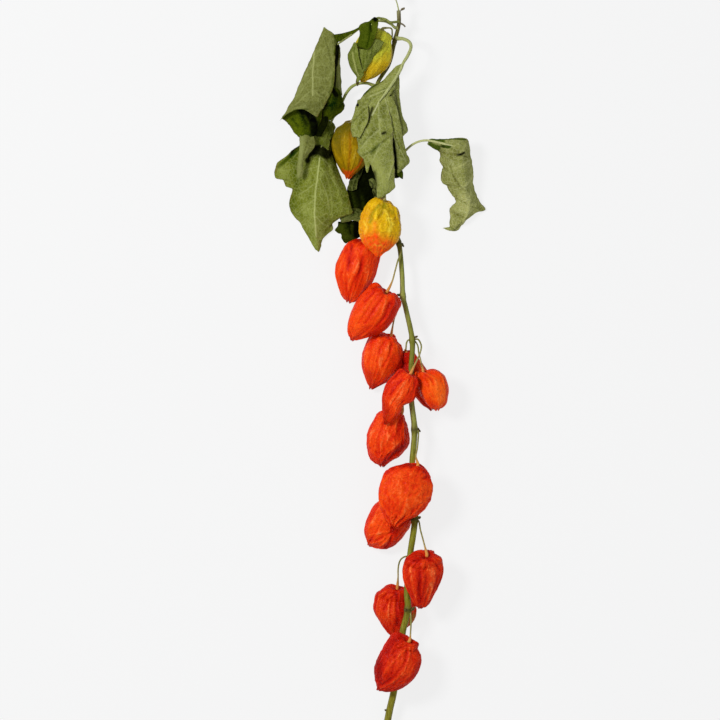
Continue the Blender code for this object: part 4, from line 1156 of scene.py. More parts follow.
@dataclass
class Stem:
    """Main stem, jointed, with its cut end."""

    line: tuple = (
        (-33, -120, 4.9), (-24.5, -60, 9), (-15, 0, 14.5), (-7.7, 34, 19.5), (-1.5, 74, 26),
        (3.1, 107, 31), (9.0, 132, 33.5), (8.0, 156, 34), (12, 200, 31), (17.3, 241, 28.5),
        (14.2, 290, 27), (14.5, 312, 27.2), (17.0, 348, 28.5), (13.2, 384, 31.5), (12.9, 422, 33),
        (14.2, 455, 32), (6.8, 492, 29), (3.0, 509, 27.5), (1.8, 537, 25.5), (-1.9, 572, 23),
        (-13.5, 606, 21), (-22.8, 638, 19.5), (-25.4, 684, 18), (-27.6, 726, 17), (-28.6, 760, 16.5),
        (-13.6, 787, 18), (-6.6, 815, 23.5), (-1.9, 834, 26.5), (-2.0, 850.6, 29),
    )
    radii: tuple = ((-120, 4.6), (0, 4.1), (132, 3.8), (241, 3.7), (348, 3.4), (455, 3.1), (572, 2.8),
                    (700, 2.5), (790, 2.3), (851, 2.4))
    joints: tuple = (132, 241, 348, 455, 509, 572, 642, 726, 815)     # along Y, like the radii
    dark_joints: tuple = (132, 241, 348, 572)
    swell: float = 0.24         # bulge at a joint, as a share of the radius
    reach: float = 4.5          # length of the bulge
    collar: float = 0.28        # height of the two rings that edge a joint
    grooves: int = 5
    groove_depth: float = 0.045
    red_place: float = 306      # where one flank is tinged with orange
    sides: int = 24
    rings: int = 900
    finish: StemFinish = StemFinish(stops=(
        (0.0, (138, 134, 54)), (0.1, (128, 121, 28)), (0.25, (126, 123, 26)), (0.37, (122, 124, 20)),
        (0.44, (126, 126, 20)), (0.485, (138, 142, 62)), (0.53, (146, 152, 84)), (0.56, (112, 114, 26)),
        (0.6, (122, 124, 44)), (0.66, (142, 146, 70)), (0.7, (114, 120, 36)),
        (0.82, (114, 120, 44)), (0.9, (112, 118, 44)), (0.94, (88, 82, 28)), (0.985, (78, 70, 30)),
        (1.0, (140, 136, 100))))

    def __post_init__(self) -> None:
        """Lay the rings along the centre line."""
        self.middle = even_line(np.array(self.line, float), self.rings)
        self.noise = Noise(77)

    def nearest(self, point: np.ndarray) -> np.ndarray:
        """Point of the centre line that is nearest to a point."""
        return self.middle[np.argmin(np.linalg.norm(self.middle - point, axis=1))]

    def spots(self, angle: np.ndarray, length: float) -> np.ndarray:
        """Places at which to read the noise, stretched along the stem by a length."""
        return np.stack(np.broadcast_arrays(np.cos(angle)[None], np.sin(angle)[None],
                                            self.middle[:, 1:2] / length), axis=-1)

    def build(self, space: Space) -> None:
        """Build the stem.

        Args:
            space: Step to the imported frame.
        """
        y = self.middle[:, 1]
        keys, sizes = zip(*self.radii)
        radius = np.interp(y, keys, sizes)
        away = np.array([y - joint for joint in self.joints])
        bulge = bell(away, self.reach).sum(axis=0)[:, None]
        collar = bell(np.abs(away) - 1.6, 0.7).sum(axis=0)[:, None]
        angle = np.arange(self.sides) * 2 * np.pi / self.sides
        groove = self.groove_depth * np.cos(self.grooves * angle)[None] * np.cos(y / 90)[:, None]
        groove = groove + 0.07 * self.noise.layers(self.spots(angle, 40) * 2.1)
        lump = self.noise.layers(self.spots(angle, 5) * 1.7)
        reach = radius[:, None] * (1 + self.swell * bulge + groove
                                   + (0.12 * bulge + 0.02) * lump) + self.collar * collar
        reach = reach * (1 - 0.04 * bell(y - self.line[0][1], 2.0)[:, None])
        dark_away = np.array([y - joint for joint in self.dark_joints])
        scar = bell(dark_away, 2.0).sum(axis=0)[:, None] * (0.55 + 0.6 * lump)
        brown = bell(dark_away, 6.5).sum(axis=0)[:, None] * 0.6
        share = (y - y.min()) / (y.max() - y.min())
        streak = bell(y - self.red_place, 7)[:, None] * bell(np.cos(angle) - 0.8, 0.4)[None]
        points = tube_points(self.middle, reach, self.sides)
        # Darker towards both flanks as seen from above: painted shade, laid into the brown of the joints
        flank = ramp_step(np.abs(points[CAPS:-CAPS, :, 0] - self.middle[:, :1]) / radius[:, None],
                          0.72, 1.05)
        brown = np.maximum(brown, 0.7 * flank)
        skin = Skin("stem")
        skin.add_round(points, along=pad_ends(share)[:, None], dark=pad_ends(np.clip(scar, 0, 0.9)),
                       olive=pad_ends(np.clip(brown, 0, 1)), red=pad_ends(streak * 0.7),
                       pale=np.where(np.arange(len(points)) < CAPS, 0.9, 0.0)[:, None])
        skin.finish(space, self.finish.make("stem"), "stem", "stem_green")


@dataclass(frozen=True)
class Sheet:
    """One thin part of a leaf: rows of points from margin to margin, and its own strokes."""

    rows: tuple
    upper: float = 0.0          # 1 shows the dark upper side, 0 the dull underside
    # near-black over the whole sheet: painted shadow for the sheets that stand in deep gaps
    dark: float = 0.0
    dry: float = 0.0
    strokes: tuple = ()
    ragged: float = 0.7         # wander of the margin, millimetres
    pucker: float = 0.55        # height of the small bulges between the veins
    fineness: float = 0.9       # rows and columns for each millimetre


@dataclass(frozen=True)
class Leaf:
    """One leaf: the way of its stalk and the sheets of its blade."""

    name: str
    slot: str
    petiole: tuple
    sheets: tuple
    veins: tuple = ()           # lines in plan, the midrib first
    finish: LeafFinish = SAGE
    petiole_radii: tuple = (1.6, 1.2)   # at the stem and at the blade


# In the leaves' strokes, shade and crease paint shade, glow and crest paint light, and dark strokes mostly
# paint near-black shadow in folds and gaps
UPPER_LEFT_LEAF = Leaf("leaf_upper_left", "leaf_green", triples(-6.6, 830.4, 28.2, -11.5, 834.5, 29.5,
    -20, 838, 31, -34, 837.4, 29, -48, 830, 27, -60, 821, 27, -68, 815.5, 28, -76, 809.5, 30,
    -80, 806, 29), (
    Sheet(grid(4, -79, 822, 30, -70, 823.5, 28, -58, 827, 27.5, -48, 831.5, 27.5, -79, 818, 30.5,
        -70, 819, 28.5, -59, 823, 28, -48.5, 830.6, 28, -78, 811, 32, -70, 815, 28.5, -60, 820.5, 28,
        -49, 829.6, 28), upper=0.8, ragged=0.2),
    Sheet((triples(-91.8, 831, 27, -90.6, 830.5, 28, -89.4, 829, 28.6), triples(-95, 823, 26, -89, 824, 31,
        -82, 822.5, 32, -78.2, 821, 31), triples(-98.5, 815, 24.5, -91, 814, 33, -85, 812, 35,
        -77.4, 810, 33), triples(-103, 804, 22, -95, 802, 33, -87, 800, 36.5, -78, 797, 37),
        triples(-108.5, 791, 21, -100, 788, 33, -90, 786, 37, -78.4, 783, 38), triples(-116, 775, 20,
        -106, 772, 34, -95, 770, 38, -79, 765.5, 38.5), triples(-124, 757, 21, -113, 756, 36, -100, 756, 40,
        -82, 753, 39.5), triples(-132, 740, 26, -120, 742, 41, -106, 744, 44, -87.8, 741.5, 41.5),
        triples(-139, 729, 31, -124, 736, 46, -110, 739, 48, -91.5, 734, 43), triples(-141, 726, 33,
        -127, 733.5, 49, -112.5, 736, 50, -95.5, 729, 44), triples(-145.6, 718.6, 34, -131, 728.4, 50,
        -116, 731, 50.5, -99.4, 721.5, 45)), strokes=(
        crease(1, 0.6, -91, 818, -86, 804, -82, 786), olive(1.8, 0.75, -79, 821, -77.6, 810, -79, 797),
        shade(1, 0.8, -99, 752, -92, 748, -88, 744), shade(1, 0.8, -104, 756, -94, 758),
        shade(3, 0.6, -90, 750, -94, 740, -100, 728), glow(4, 0.4, -100, 800, -112, 776, -124, 750),
        olive(3, 0.55, -80, 776, -81, 762, -85, 750), olive(2.2, 0.6, -140, 722, -126, 730, -112, 731.5),
        dark(0.8, 0.6, -111, 786, -110.6, 786), dark(0.7, 0.6, -93, 770, -92.6, 770),
        dark(0.7, 0.6, -98, 752, -97.6, 752))),
    Sheet(grid(3, -79, 817, 33, -76.4, 814.6, 30, -74, 811.4, 25, -79, 812, 35, -75.5, 809.6, 30,
        -72.2, 806, 22, -79, 797, 35.5, -76, 795, 28, -71.8, 791, 18, -79.5, 784, 36, -76, 780, 29,
        -71.6, 776, 17, -80.5, 767, 36.5, -77, 764, 30, -70.8, 761, 19, -83, 753, 37, -78, 752, 31,
        -69.6, 749, 20), upper=0.45, strokes=(
        dark(1.9, 2.4, -75.6, 808, -76.4, 796, -77.6, 786),
        dark(1.4, 2.2, -78.2, 786, -78.8, 770, -79.4, 758), pale(1.8, 0.8, -74, 790, -74, 772, -72.6, 754))),
    Sheet(grid(3, -86, 764, 35, -79, 760, 34, -73.5, 755, 23, -85, 754, 37, -77.5, 753, 35, -70.5, 749.5, 24,
        -88, 743, 38, -78, 742, 36, -67.6, 741, 22, -91, 735, 37, -80, 735, 34, -66.6, 735.5, 20,
        -93, 727, 35, -83, 727, 30, -71, 729, 20, -92.5, 716.6, 30, -86, 718.5, 26, -79, 723, 21), upper=1,
        strokes=(
        dark(3, 1.6, -86, 762, -81, 755, -77, 749), dark(2.6, 1.6, -90, 738, -95, 731, -95, 722),
        shade(5, 0.8, -80, 744, -84, 734), glow(3, 1, -70, 732, -80, 722, -88, 719))),
    # Near-black sheet in the hollow below the flaps: painted shadow
    Sheet(grid(3, -104, 742, 38, -95, 744, 37, -84, 745, 33, -104, 732, 37, -95, 731, 36, -85, 732, 32,
        -104, 720, 35, -96, 718, 33, -87, 718, 28, -104.5, 710, 32, -99, 707, 29, -91, 706, 24,
        -105, 702, 30, -100, 700, 27, -95, 700, 23), upper=1, dark=0.9),
    Sheet(grid(5, -142.6, 721, 30, -128, 734, 40, -114, 736, 42, -100, 729, 41, -93, 733, 38,
        -135.4, 715.6, 29, -125, 720, 39, -113, 722, 41, -101, 719, 39, -94, 722, 35, -130.4, 709.4, 28.5,
        -122, 710, 37, -113, 711, 38, -104, 709, 36, -98, 711, 32, -127, 703.4, 29, -119, 703, 34,
        -112, 703, 35, -105.5, 702, 33, -101, 703, 30, -121.4, 698.6, 30, -117, 698.6, 32.5, -112, 699.2, 33,
        -106, 699.5, 32, -103.5, 700.5, 30), upper=1, ragged=0.9, pucker=0.9, strokes=(
        dark(5, 1.8, -118, 733, -109, 727, -104, 716, -103, 704), dark(2, 0.5, -119, 728, -113, 714),
        glow(7, 0.8, -132, 716, -120, 706), shade(3, 0.7, -120, 728, -115, 716, -113, 704),
        shade(1.4, 0.8, -130, 720, -122, 712))),
    Sheet(grid(3, -121, 701, 31, -113, 702, 33.5, -103.6, 701, 31, -121, 691, 31, -112, 691, 34,
        -101.4, 691, 31, -121.4, 684, 31, -113, 684, 34, -104.6, 684, 31, -121.8, 676, 31, -117, 676, 34,
        -112, 676, 31, -123.2, 667, 31, -119.5, 667, 33, -115.8, 668, 31, -124.4, 657, 30,
        -120.5, 656.6, 31.5, -116.6, 657, 30, -123.2, 650.6, 29, -121, 649.6, 29.5, -118.6, 650.6, 29),
        strokes=(
        crease(1, 0.7, -110, 698, -116, 676), pale(3, 0.7, -118, 698, -119.5, 676, -121, 654),
        dark(0.8, 0.5, -112, 692, -111.6, 692), dark(0.7, 0.5, -108, 688, -107.6, 688)))),
    (pairs(-102.8, 801, -105, 778, -105, 748), pairs(-104, 788, -112, 777, -116, 768),
    pairs(-104.6, 772, -115, 760, -121, 750), pairs(-105, 756, -118, 744, -126, 737),
    pairs(-105, 772, -94, 768, -84, 770), pairs(-105, 756, -97, 748, -92, 746)), SAGE, (1.7, 1.1))

LOWER_LEFT_LEAF = Leaf("leaf_lower_left", "leaf_green", triples(-32.4, 761.5, 17.5, -40, 764, 20,
    -49, 763.6, 21, -58, 760, 19, -65, 752, 14, -70, 742, 7, -76, 731, 4, -82, 721, 5, -88, 706, 10,
    -94, 690, 15.6, -96, 678, 20), (
    Sheet(grid(5, -92, 716, 2.5, -87, 718, 4.5, -83, 719, 5, -79.5, 716, 3.5, -77.5, 712, 2, -104, 705, 2,
        -96, 706, 8, -89, 707, 10.5, -84, 707, 8, -80, 705, 3, -118, 692, 2, -107, 692, 9, -93, 692, 15.5,
        -85, 691, 9.5, -79.5, 691, 3, -129, 685, 1.5, -114, 686, 9, -95, 686, 18, -86, 685, 12,
        -79, 683, 3.5, -138, 676.6, 1.5, -120, 678, 10, -96, 679, 20.5, -86, 678.4, 14.5, -77.6, 674, 5,
        -147.6, 669, 1.2, -126, 670, 11, -97, 671, 22, -86, 670, 17, -75.6, 665, 7, -151.2, 660, 1.2,
        -130, 663, 11, -98, 663, 23.4, -85, 661, 18, -72.6, 657, 7.6, -150.4, 651.2, 1.2, -130, 652, 12,
        -99.3, 651, 24.5, -84, 650, 19, -69.5, 649, 8.5, -141.2, 648.4, 2, -124, 644, 13, -100.5, 640, 24.5,
        -83, 638, 18, -65, 637, 9, -137.6, 640, 2, -122, 637, 13, -101.4, 634, 24, -82, 631, 17.8,
        -62.4, 630, 10, -130.4, 636.4, 2, -118, 631, 12.5, -102, 627, 23.5, -81, 624, 17.5, -60.4, 623, 11,
        -134, 622, 1.5, -118, 620, 12, -102.8, 618, 22, -81, 615, 17, -58, 614, 12, -132.6, 612, 1.5,
        -117, 611, 11, -103, 609, 20.5, -81, 606, 15, -57.4, 607.6, 11.5, -127.5, 604, 1.5, -116, 603, 10,
        -103, 601, 18.5, -84, 599, 12, -70, 604, 9, -120, 595, 1.2, -112, 593, 7.5, -103, 591, 14,
        -89, 590, 8, -81, 596, 5, -114, 585.5, 1, -108.5, 584, 6, -102, 582, 10, -93, 582, 6,
        -81.4, 588.6, 3, -107.5, 573, 1, -104, 572.5, 4, -100, 572, 6, -96, 573, 4, -91.6, 581, 2,
        -102, 564, 1, -100, 563, 2, -98.5, 561.5, 2.4, -97, 563, 2, -95, 568, 1), strokes=(
        olive(7, 0.8, -86, 718, -84, 700), dark(1.7, 1.6, -83.4, 701, -82.4, 690, -80.4, 681, -78.2, 671),
        dark(5, 2.8, -105, 684, -97, 684, -88, 679), dark(1.5, 1.4, -104, 684, -111.6, 672),
        dark(2.6, 2.5, -111.4, 671), dark(1.8, 1.2, -122, 690, -129, 684, -131, 680),
        crease(1.8, 1.2, -124, 668, -122, 650, -126, 640), shade(6, 1.3, -128, 678, -124, 660, -122, 644),
        shade(7, 1, -104, 678, -88, 674, -80, 664), shade(6, 0.9, -128, 628, -130, 612),
        shade(4, 0.7, -74, 656, -66, 632, -60, 614), crest(2.4, 0.8, -84, 664, -76, 640, -70, 620),
        olive(3.2, 0.8, -122, 686, -134, 675, -146, 664), pale(4, 0.35, -144, 662, -139, 652),
        pale(0.9, 1.2, -115.9, 615.2, -115.3, 616.4), pale(0.7, 1.2, -113, 623.6),
        glow(9, 0.8, -108, 612, -101, 590, -100, 572), glow(4, 0.5, -94, 640, -92, 620),
        pale(0.8, 0.8, -95, 661.5, -89, 652, -84.5, 638, -82.4, 620, -82.4, 607))),
    Sheet(grid(3, -89, 718.6, 12, -85, 720, 11, -81, 713, 8, -96, 712, 16.5, -88, 710, 16, -80.4, 703, 10,
        -103.5, 703.6, 19, -94, 700, 20, -84, 695, 14, -103, 696, 21, -95, 693, 21, -85, 687, 16,
        -100, 690.6, 21, -94, 689.4, 21, -86, 683, 17), upper=0.45, ragged=0.4, strokes=(
        dark(2, 1.8, -93.6, 717, -92.6, 710.5), shade(3, 1.2, -88, 716, -84, 702),
        crease(1.6, 1, -98, 703, -90, 712)))),
    (pairs(-96.6, 674, -97.6, 668, -99.3, 651, -102, 633, -103, 607, -101, 580),
    pairs(-96.4, 649, -90, 636, -86.4, 622, -84.4, 606), pairs(-96, 662, -84, 652, -78, 642),
    pairs(-97, 676, -88, 668, -82, 658), pairs(-98, 664, -112, 660, -124, 652),
    pairs(-100, 645, -112, 636, -122, 630), pairs(-102, 625, -114, 616, -124, 606),
    pairs(-103, 606, -94, 596, -86, 592)), MOSS, (1.9, 1.5))

CENTRE_LEAF = Leaf("leaf_centre", "leaf_green", triples(-2, 817.2, 26.4, 3.4, 816.6, 31, 10.3, 812.8, 37,
    12.6, 805.7, 43, 8.6, 795.4, 48, 3.4, 786.9, 51, 0.2, 779, 52.6, -6, 768, 55, -13.7, 756, 57.6,
    -26, 739.5, 58.6), (
    # Near-black sheet behind the gap between the panels: painted shadow
    Sheet(grid(3, -16, 758, 46, -9, 758, 47, -3, 756, 43, -15, 736, 46, -8, 736, 47, -1, 734, 43,
        -14, 716, 46, -6, 716, 47, 2, 714, 43, -12, 700, 46, -4, 700, 47, 3, 698, 42, -10.5, 680, 46,
        -3, 680, 46, 4, 680, 42, -10, 662, 45, -3, 662, 45, 3, 662, 42, -9, 650, 44, -5, 649, 44,
        -1, 650, 42), upper=1, dark=0.97, ragged=0.2),
    Sheet(grid(3, -7, 782, 47, -3, 781, 47.5, 0.4, 779, 45, -6.5, 774, 50, -4, 773, 50.5, -1.5, 771.6, 48,
        -11, 755, 52, -6, 755, 51, -1.4, 754.5, 45, -13, 738, 53, -6, 738, 51.5, 0, 737, 44, -12, 723, 53,
        -4, 723, 51, 3.5, 723, 43, -10, 711, 52.5, -1, 711, 50, 7.9, 711.4, 42, -9, 703, 52, 0, 703, 49,
        8.6, 705.4, 42, -8, 698, 51.5, -2, 698, 49, 2.6, 699.4, 44), upper=0.15, strokes=(
        dark(2.2, 0.7, -7, 752, -3, 728, 1, 704), crest(1.4, 0.8, -4, 764, -1.5, 736, 4, 712))),
    Sheet(grid(3, -6, 660, 51, -2, 660, 50, 1.8, 660, 47, -4, 653, 50, -1, 653, 49, 2.8, 654, 46,
        -1, 650, 48.5, 1, 648.6, 47.5, 3, 648, 46), upper=1, dark=0.2, ragged=0.2),
    Sheet(grid(3, -20, 747, 57, -14, 747, 56.5, -9, 747, 54, -14.6, 727, 57, -9, 727, 56, -2.6, 727, 53,
        -11, 716, 56.5, -5, 716, 55, 0.2, 714, 51, -9, 703, 56, -3, 703, 54, 2.4, 701, 49, -7.2, 691, 55,
        -1, 691, 53, 4.4, 690, 47, -6, 680, 54.5, 1, 680, 52, 7, 680, 46, -5, 668, 54, 3, 669, 51,
        10.8, 669.4, 44, -4.5, 661, 53.5, 0, 660.6, 51, 6, 663.6, 46, -4, 655.4, 53, -3, 655, 52,
        -1, 657.6, 49), strokes=(
        dark(2.4, 1.5, -8.8, 693, -7, 680, -5.4, 660), crease(1.2, 0.9, -11, 722, -6, 700, -1, 684),
        crest(1.4, 0.6, -4, 726, 1, 700, 6, 678))),
    Sheet((triples(0, 785.4, 50, 1.6, 786.2, 51, 3.2, 786.6, 50.5), triples(-7.2, 781.2, 47, -2, 779, 51.5,
        1.2, 778, 50.5), triples(-20.8, 767, 44, -12, 765, 52.5, -4, 765, 52.5), triples(-37.4, 757, 39,
        -25, 756, 51, -12, 755, 56, -8, 755, 55), triples(-47.6, 745, 38, -33, 746, 52, -20, 745, 57,
        -14, 744, 56.5), triples(-53, 731, 41, -40, 731, 52, -25, 731, 58, -13, 728, 57),
        triples(-56, 717, 42.5, -44, 718, 53.5, -27, 719, 58.5, -10.5, 718, 57), triples(-56, 706, 43,
        -45, 707, 54, -27, 709, 59, -9, 707, 56.5), triples(-52, 697, 44.5, -42, 698, 54.5, -26, 698, 59.5,
        -9, 696, 57), triples(-50.5, 688, 45.5, -40, 687, 55, -26, 686, 59.8, -8.8, 685, 57),
        triples(-51.2, 678.6, 46, -40, 678, 55, -26, 677, 60, -8, 676, 57), triples(-43.6, 672, 46.5,
        -35, 670, 54.5, -24, 667, 60, -7.4, 666, 57), triples(-36, 664.5, 48, -31, 660, 55, -22, 656, 60,
        -6.6, 656, 57), triples(-30.6, 651, 48, -27, 647, 55, -19, 645, 60, -7, 646, 57),
        triples(-29.4, 638, 50, -25.5, 636, 56, -18, 634, 59, -6.4, 637, 56), triples(-27.6, 624.6, 52,
        -23.5, 625.2, 56, -20, 626.4, 57, -14, 631, 55)), strokes=(
        olive(2.6, 0.75, -22, 766, -34, 758.6, -45, 749), dark(1.4, 1.2, -33.5, 733, -36, 725, -38.4, 718),
        shade(2.2, 1.5, -38, 716, -44, 705, -49.6, 695), crease(1.3, 1.2, -27, 737, -36, 720, -46, 702),
        pale(1.3, 1.2, 2.6, 786, -1.7, 775, -13.7, 758), pale(0.9, 1.1, -13.7, 758, -25, 741),
        glow(3.5, 0.6, -6, 776, -18, 762, -30, 752), crease(0.9, 0.8, -14, 757, -24, 754, -36, 750),
        crease(0.9, 0.7, -30, 744, -40, 744, -47, 738), shade(4, 0.7, -20, 734, -30, 716, -34, 700),
        crease(1, 0.9, -26, 708, -36, 700, -46, 690), shade(2, 0.7, -20, 727, -19, 716),
        crease(1.1, 1, -10, 700, -22, 691, -33, 682, -45, 676), olive(5, 0.55, -26, 688, -34, 680),
        pale(6, 0.55, -30, 668, -20, 650, -16, 640), dark(1.5, 1.5, -21.4, 702, -18.4, 703.2),
        dark(1.6, 1.2, -53, 738, -52, 740), dark(2.2, 0.8, -31, 656, -29.4, 640),
        crest(1.4, 1, -6, 676, -12, 657, -15, 646), crease(1.2, 0.8, -16, 752, -30, 748, -42, 736))),
    Sheet(grid(3, -51, 743, 35, -45, 744.6, 37, -37, 744.5, 43, -53.4, 736.6, 41.5, -47, 737, 46.5,
        -38.5, 736.5, 51.5, -56.4, 727, 43.5, -48, 728, 52, -38, 729, 57.5, -58.9, 716, 44.5, -49, 717, 54,
        -38.4, 717.6, 58.5, -59.5, 706, 45, -51, 706.5, 53.5, -44, 706.4, 57, -57.6, 698.6, 46,
        -53, 697.6, 51, -49.4, 696.6, 54), strokes=(
        crease(1.1, 0.9, -42, 732, -52, 722, -57, 716), shade(3, 0.8, -48, 734, -44, 724, -50, 710),
        glow(2, 0.8, -54, 716, -55, 704), crease(1, 0.7, -40, 722, -50, 713, -56, 706))),
    Sheet(grid(3, -52.8, 736.4, 44, -52.2, 738, 46, -51.4, 738.6, 44, -51.4, 734.6, 44, -50.8, 735.8, 46,
        -50.2, 736.4, 44), dark=1, ragged=0.1),
    Sheet(grid(3, -45, 676.4, 47, -40, 675, 51, -35, 673, 53, -43.4, 668, 47, -40, 668, 50, -36, 667, 51,
        -41.8, 659.4, 46.5, -40, 658.6, 48, -37.6, 661, 49, -40.6, 656, 46, -39.8, 655.6, 46.3,
        -38.6, 656.4, 46), ragged=0.1)),
    (pairs(0.2, 779, -6, 768, -13.7, 756, -26, 739.5, -34, 724), pairs(-19, 745, -14, 728, -10, 717),
    pairs(-26, 742, -26, 720, -24, 700), pairs(-12, 757, -24, 752, -38, 746),
    pairs(-26, 706, -38, 696, -46, 686), pairs(-24, 690, -30, 676, -34, 668),
    pairs(-7.6, 756, -5, 737, -3, 720), pairs(-5, 690, 2, 678, 6, 670), pairs(-6, 672, -12, 657, -15, 646)),
    FERN, (2.1, 1.6))

RIGHT_LEAF = Leaf("leaf_right", "leaf_green", triples(-16, 664.8, 19.6, -6, 671, 22, 6, 682.5, 27,
    14, 689.5, 32, 23, 693.6, 35, 32.5, 694.6, 36.5, 43, 692.6, 38.5, 54, 690, 40.5, 66, 687.4, 40.6), (
    Sheet((triples(32, 690.5, 33, 33, 692.5, 34.5, 34, 696, 33), triples(40, 685, 28, 43, 689, 35,
        45, 692.6, 38, 47, 695.6, 36, 48, 697.4, 31), triples(47, 679, 21, 54, 683, 33, 62, 689, 41,
        66, 693.4, 38, 66, 697.2, 31), triples(47.4, 670, 14, 57, 672, 29, 72, 679, 39, 78, 687, 36,
        80, 696.4, 28), triples(50.4, 664, 12, 59, 665, 27, 73, 671, 36.5, 80, 677, 32, 83.6, 680, 21),
        triples(49.6, 655, 10, 60, 656, 26, 74, 658, 34, 82, 662, 28, 87, 664, 16), triples(49.6, 645.6, 6,
        63, 643, 22, 76, 641, 30, 83, 643, 22, 87.8, 644, 10), triples(56, 641.4, 6, 65, 640, 21,
        76.6, 638.6, 28.6, 83.4, 639.4, 21, 88.4, 640, 9.5), triples(58, 637, 6, 67, 635.6, 20,
        77.4, 635, 27, 84, 635.6, 20, 89.4, 636, 9), triples(64.6, 626.6, 7, 71, 627, 17, 79, 628, 24,
        86, 629, 18, 92.4, 629, 8), triples(66, 621, 6, 71, 620.6, 15, 80, 620, 21, 88, 620.6, 15,
        97.4, 620, 5), triples(59.6, 614, 3, 70, 614, 13, 82, 613, 18, 91, 613, 12, 102, 612.6, 3),
        triples(60, 604, 2, 67, 603, 9, 76, 602, 13, 82, 604, 9, 90, 608, 4), triples(59.5, 594, 1,
        63, 593, 5, 68, 592.5, 7, 72, 594, 5, 76.6, 597, 2), triples(58.5, 591.8, 1, 60, 590.4, 3,
        62, 588.8, 4, 64.5, 587.4, 3, 68, 586.6, 1), triples(51, 590.4, 1, 53.2, 589.8, 1.2,
        54.4, 589.2, 1.4, 56.7, 588.6, 1.2, 57, 588, 1)), ragged=1.1, pucker=0.8, strokes=(
        olive(2.8, 1.5, 34, 695.6, 44, 696, 50, 693.6), olive(2.8, 1.4, 36, 689, 45, 686),
        olive(2.6, 1.4, 52, 688.6, 58, 687.6), olive(1.3, 0.9, 52, 696.6, 66, 696.4, 78, 695.6),
        dark(1.2, 0.7, 48, 688, 53, 687), crease(1.2, 1, 47, 681, 58, 678.6, 69, 677),
        dark(1.3, 1.5, 69, 677.4, 73, 678.2, 76, 679.8), crease(1.2, 1.2, 68, 676, 83, 675),
        shade(3.5, 0.7, 50, 678, 66, 674), shade(2.5, 0.9, 57, 690, 66, 683, 70, 680),
        pale(0.8, 1, 79.5, 691, 73.5, 682, 70, 677), pale(0.8, 1, 65, 661, 70, 663, 79.5, 668),
        pale(0.9, 1.3, 87.2, 653, 82.5, 646.5, 77.7, 640.5),
        pale(0.8, 1.1, 84, 632, 83.7, 615, 78, 603, 70.5, 589.5), glow(3, 0.6, 82, 670, 86, 654, 86, 642),
        shade(2.5, 0.6, 52, 668, 54, 650, 62, 634), crease(1, 0.8, 60, 664, 64, 650, 74, 636),
        crease(1.1, 0.9, 50, 664, 62, 654, 70, 640), crease(1.1, 1, 64, 627, 74, 622, 84, 616, 98, 613),
        crease(1.1, 0.9, 62, 610, 72, 604, 80, 602), crest(1.3, 1, 84, 624, 81, 609, 75, 596),
        olive(1.4, 0.5, 60, 592, 66, 588), glow(9, 0.9, 78, 626, 84, 614))),),
    (pairs(87, 652.5, 82.5, 646.5, 77.7, 640.5), pairs(84, 630, 83.7, 615, 78, 603, 70.5, 589.5),
    pairs(83, 671, 71, 663), pairs(84, 624, 74, 622), pairs(60, 672, 66, 660), pairs(83, 608, 70, 612)),
    STRAW, (1.5, 1.3))

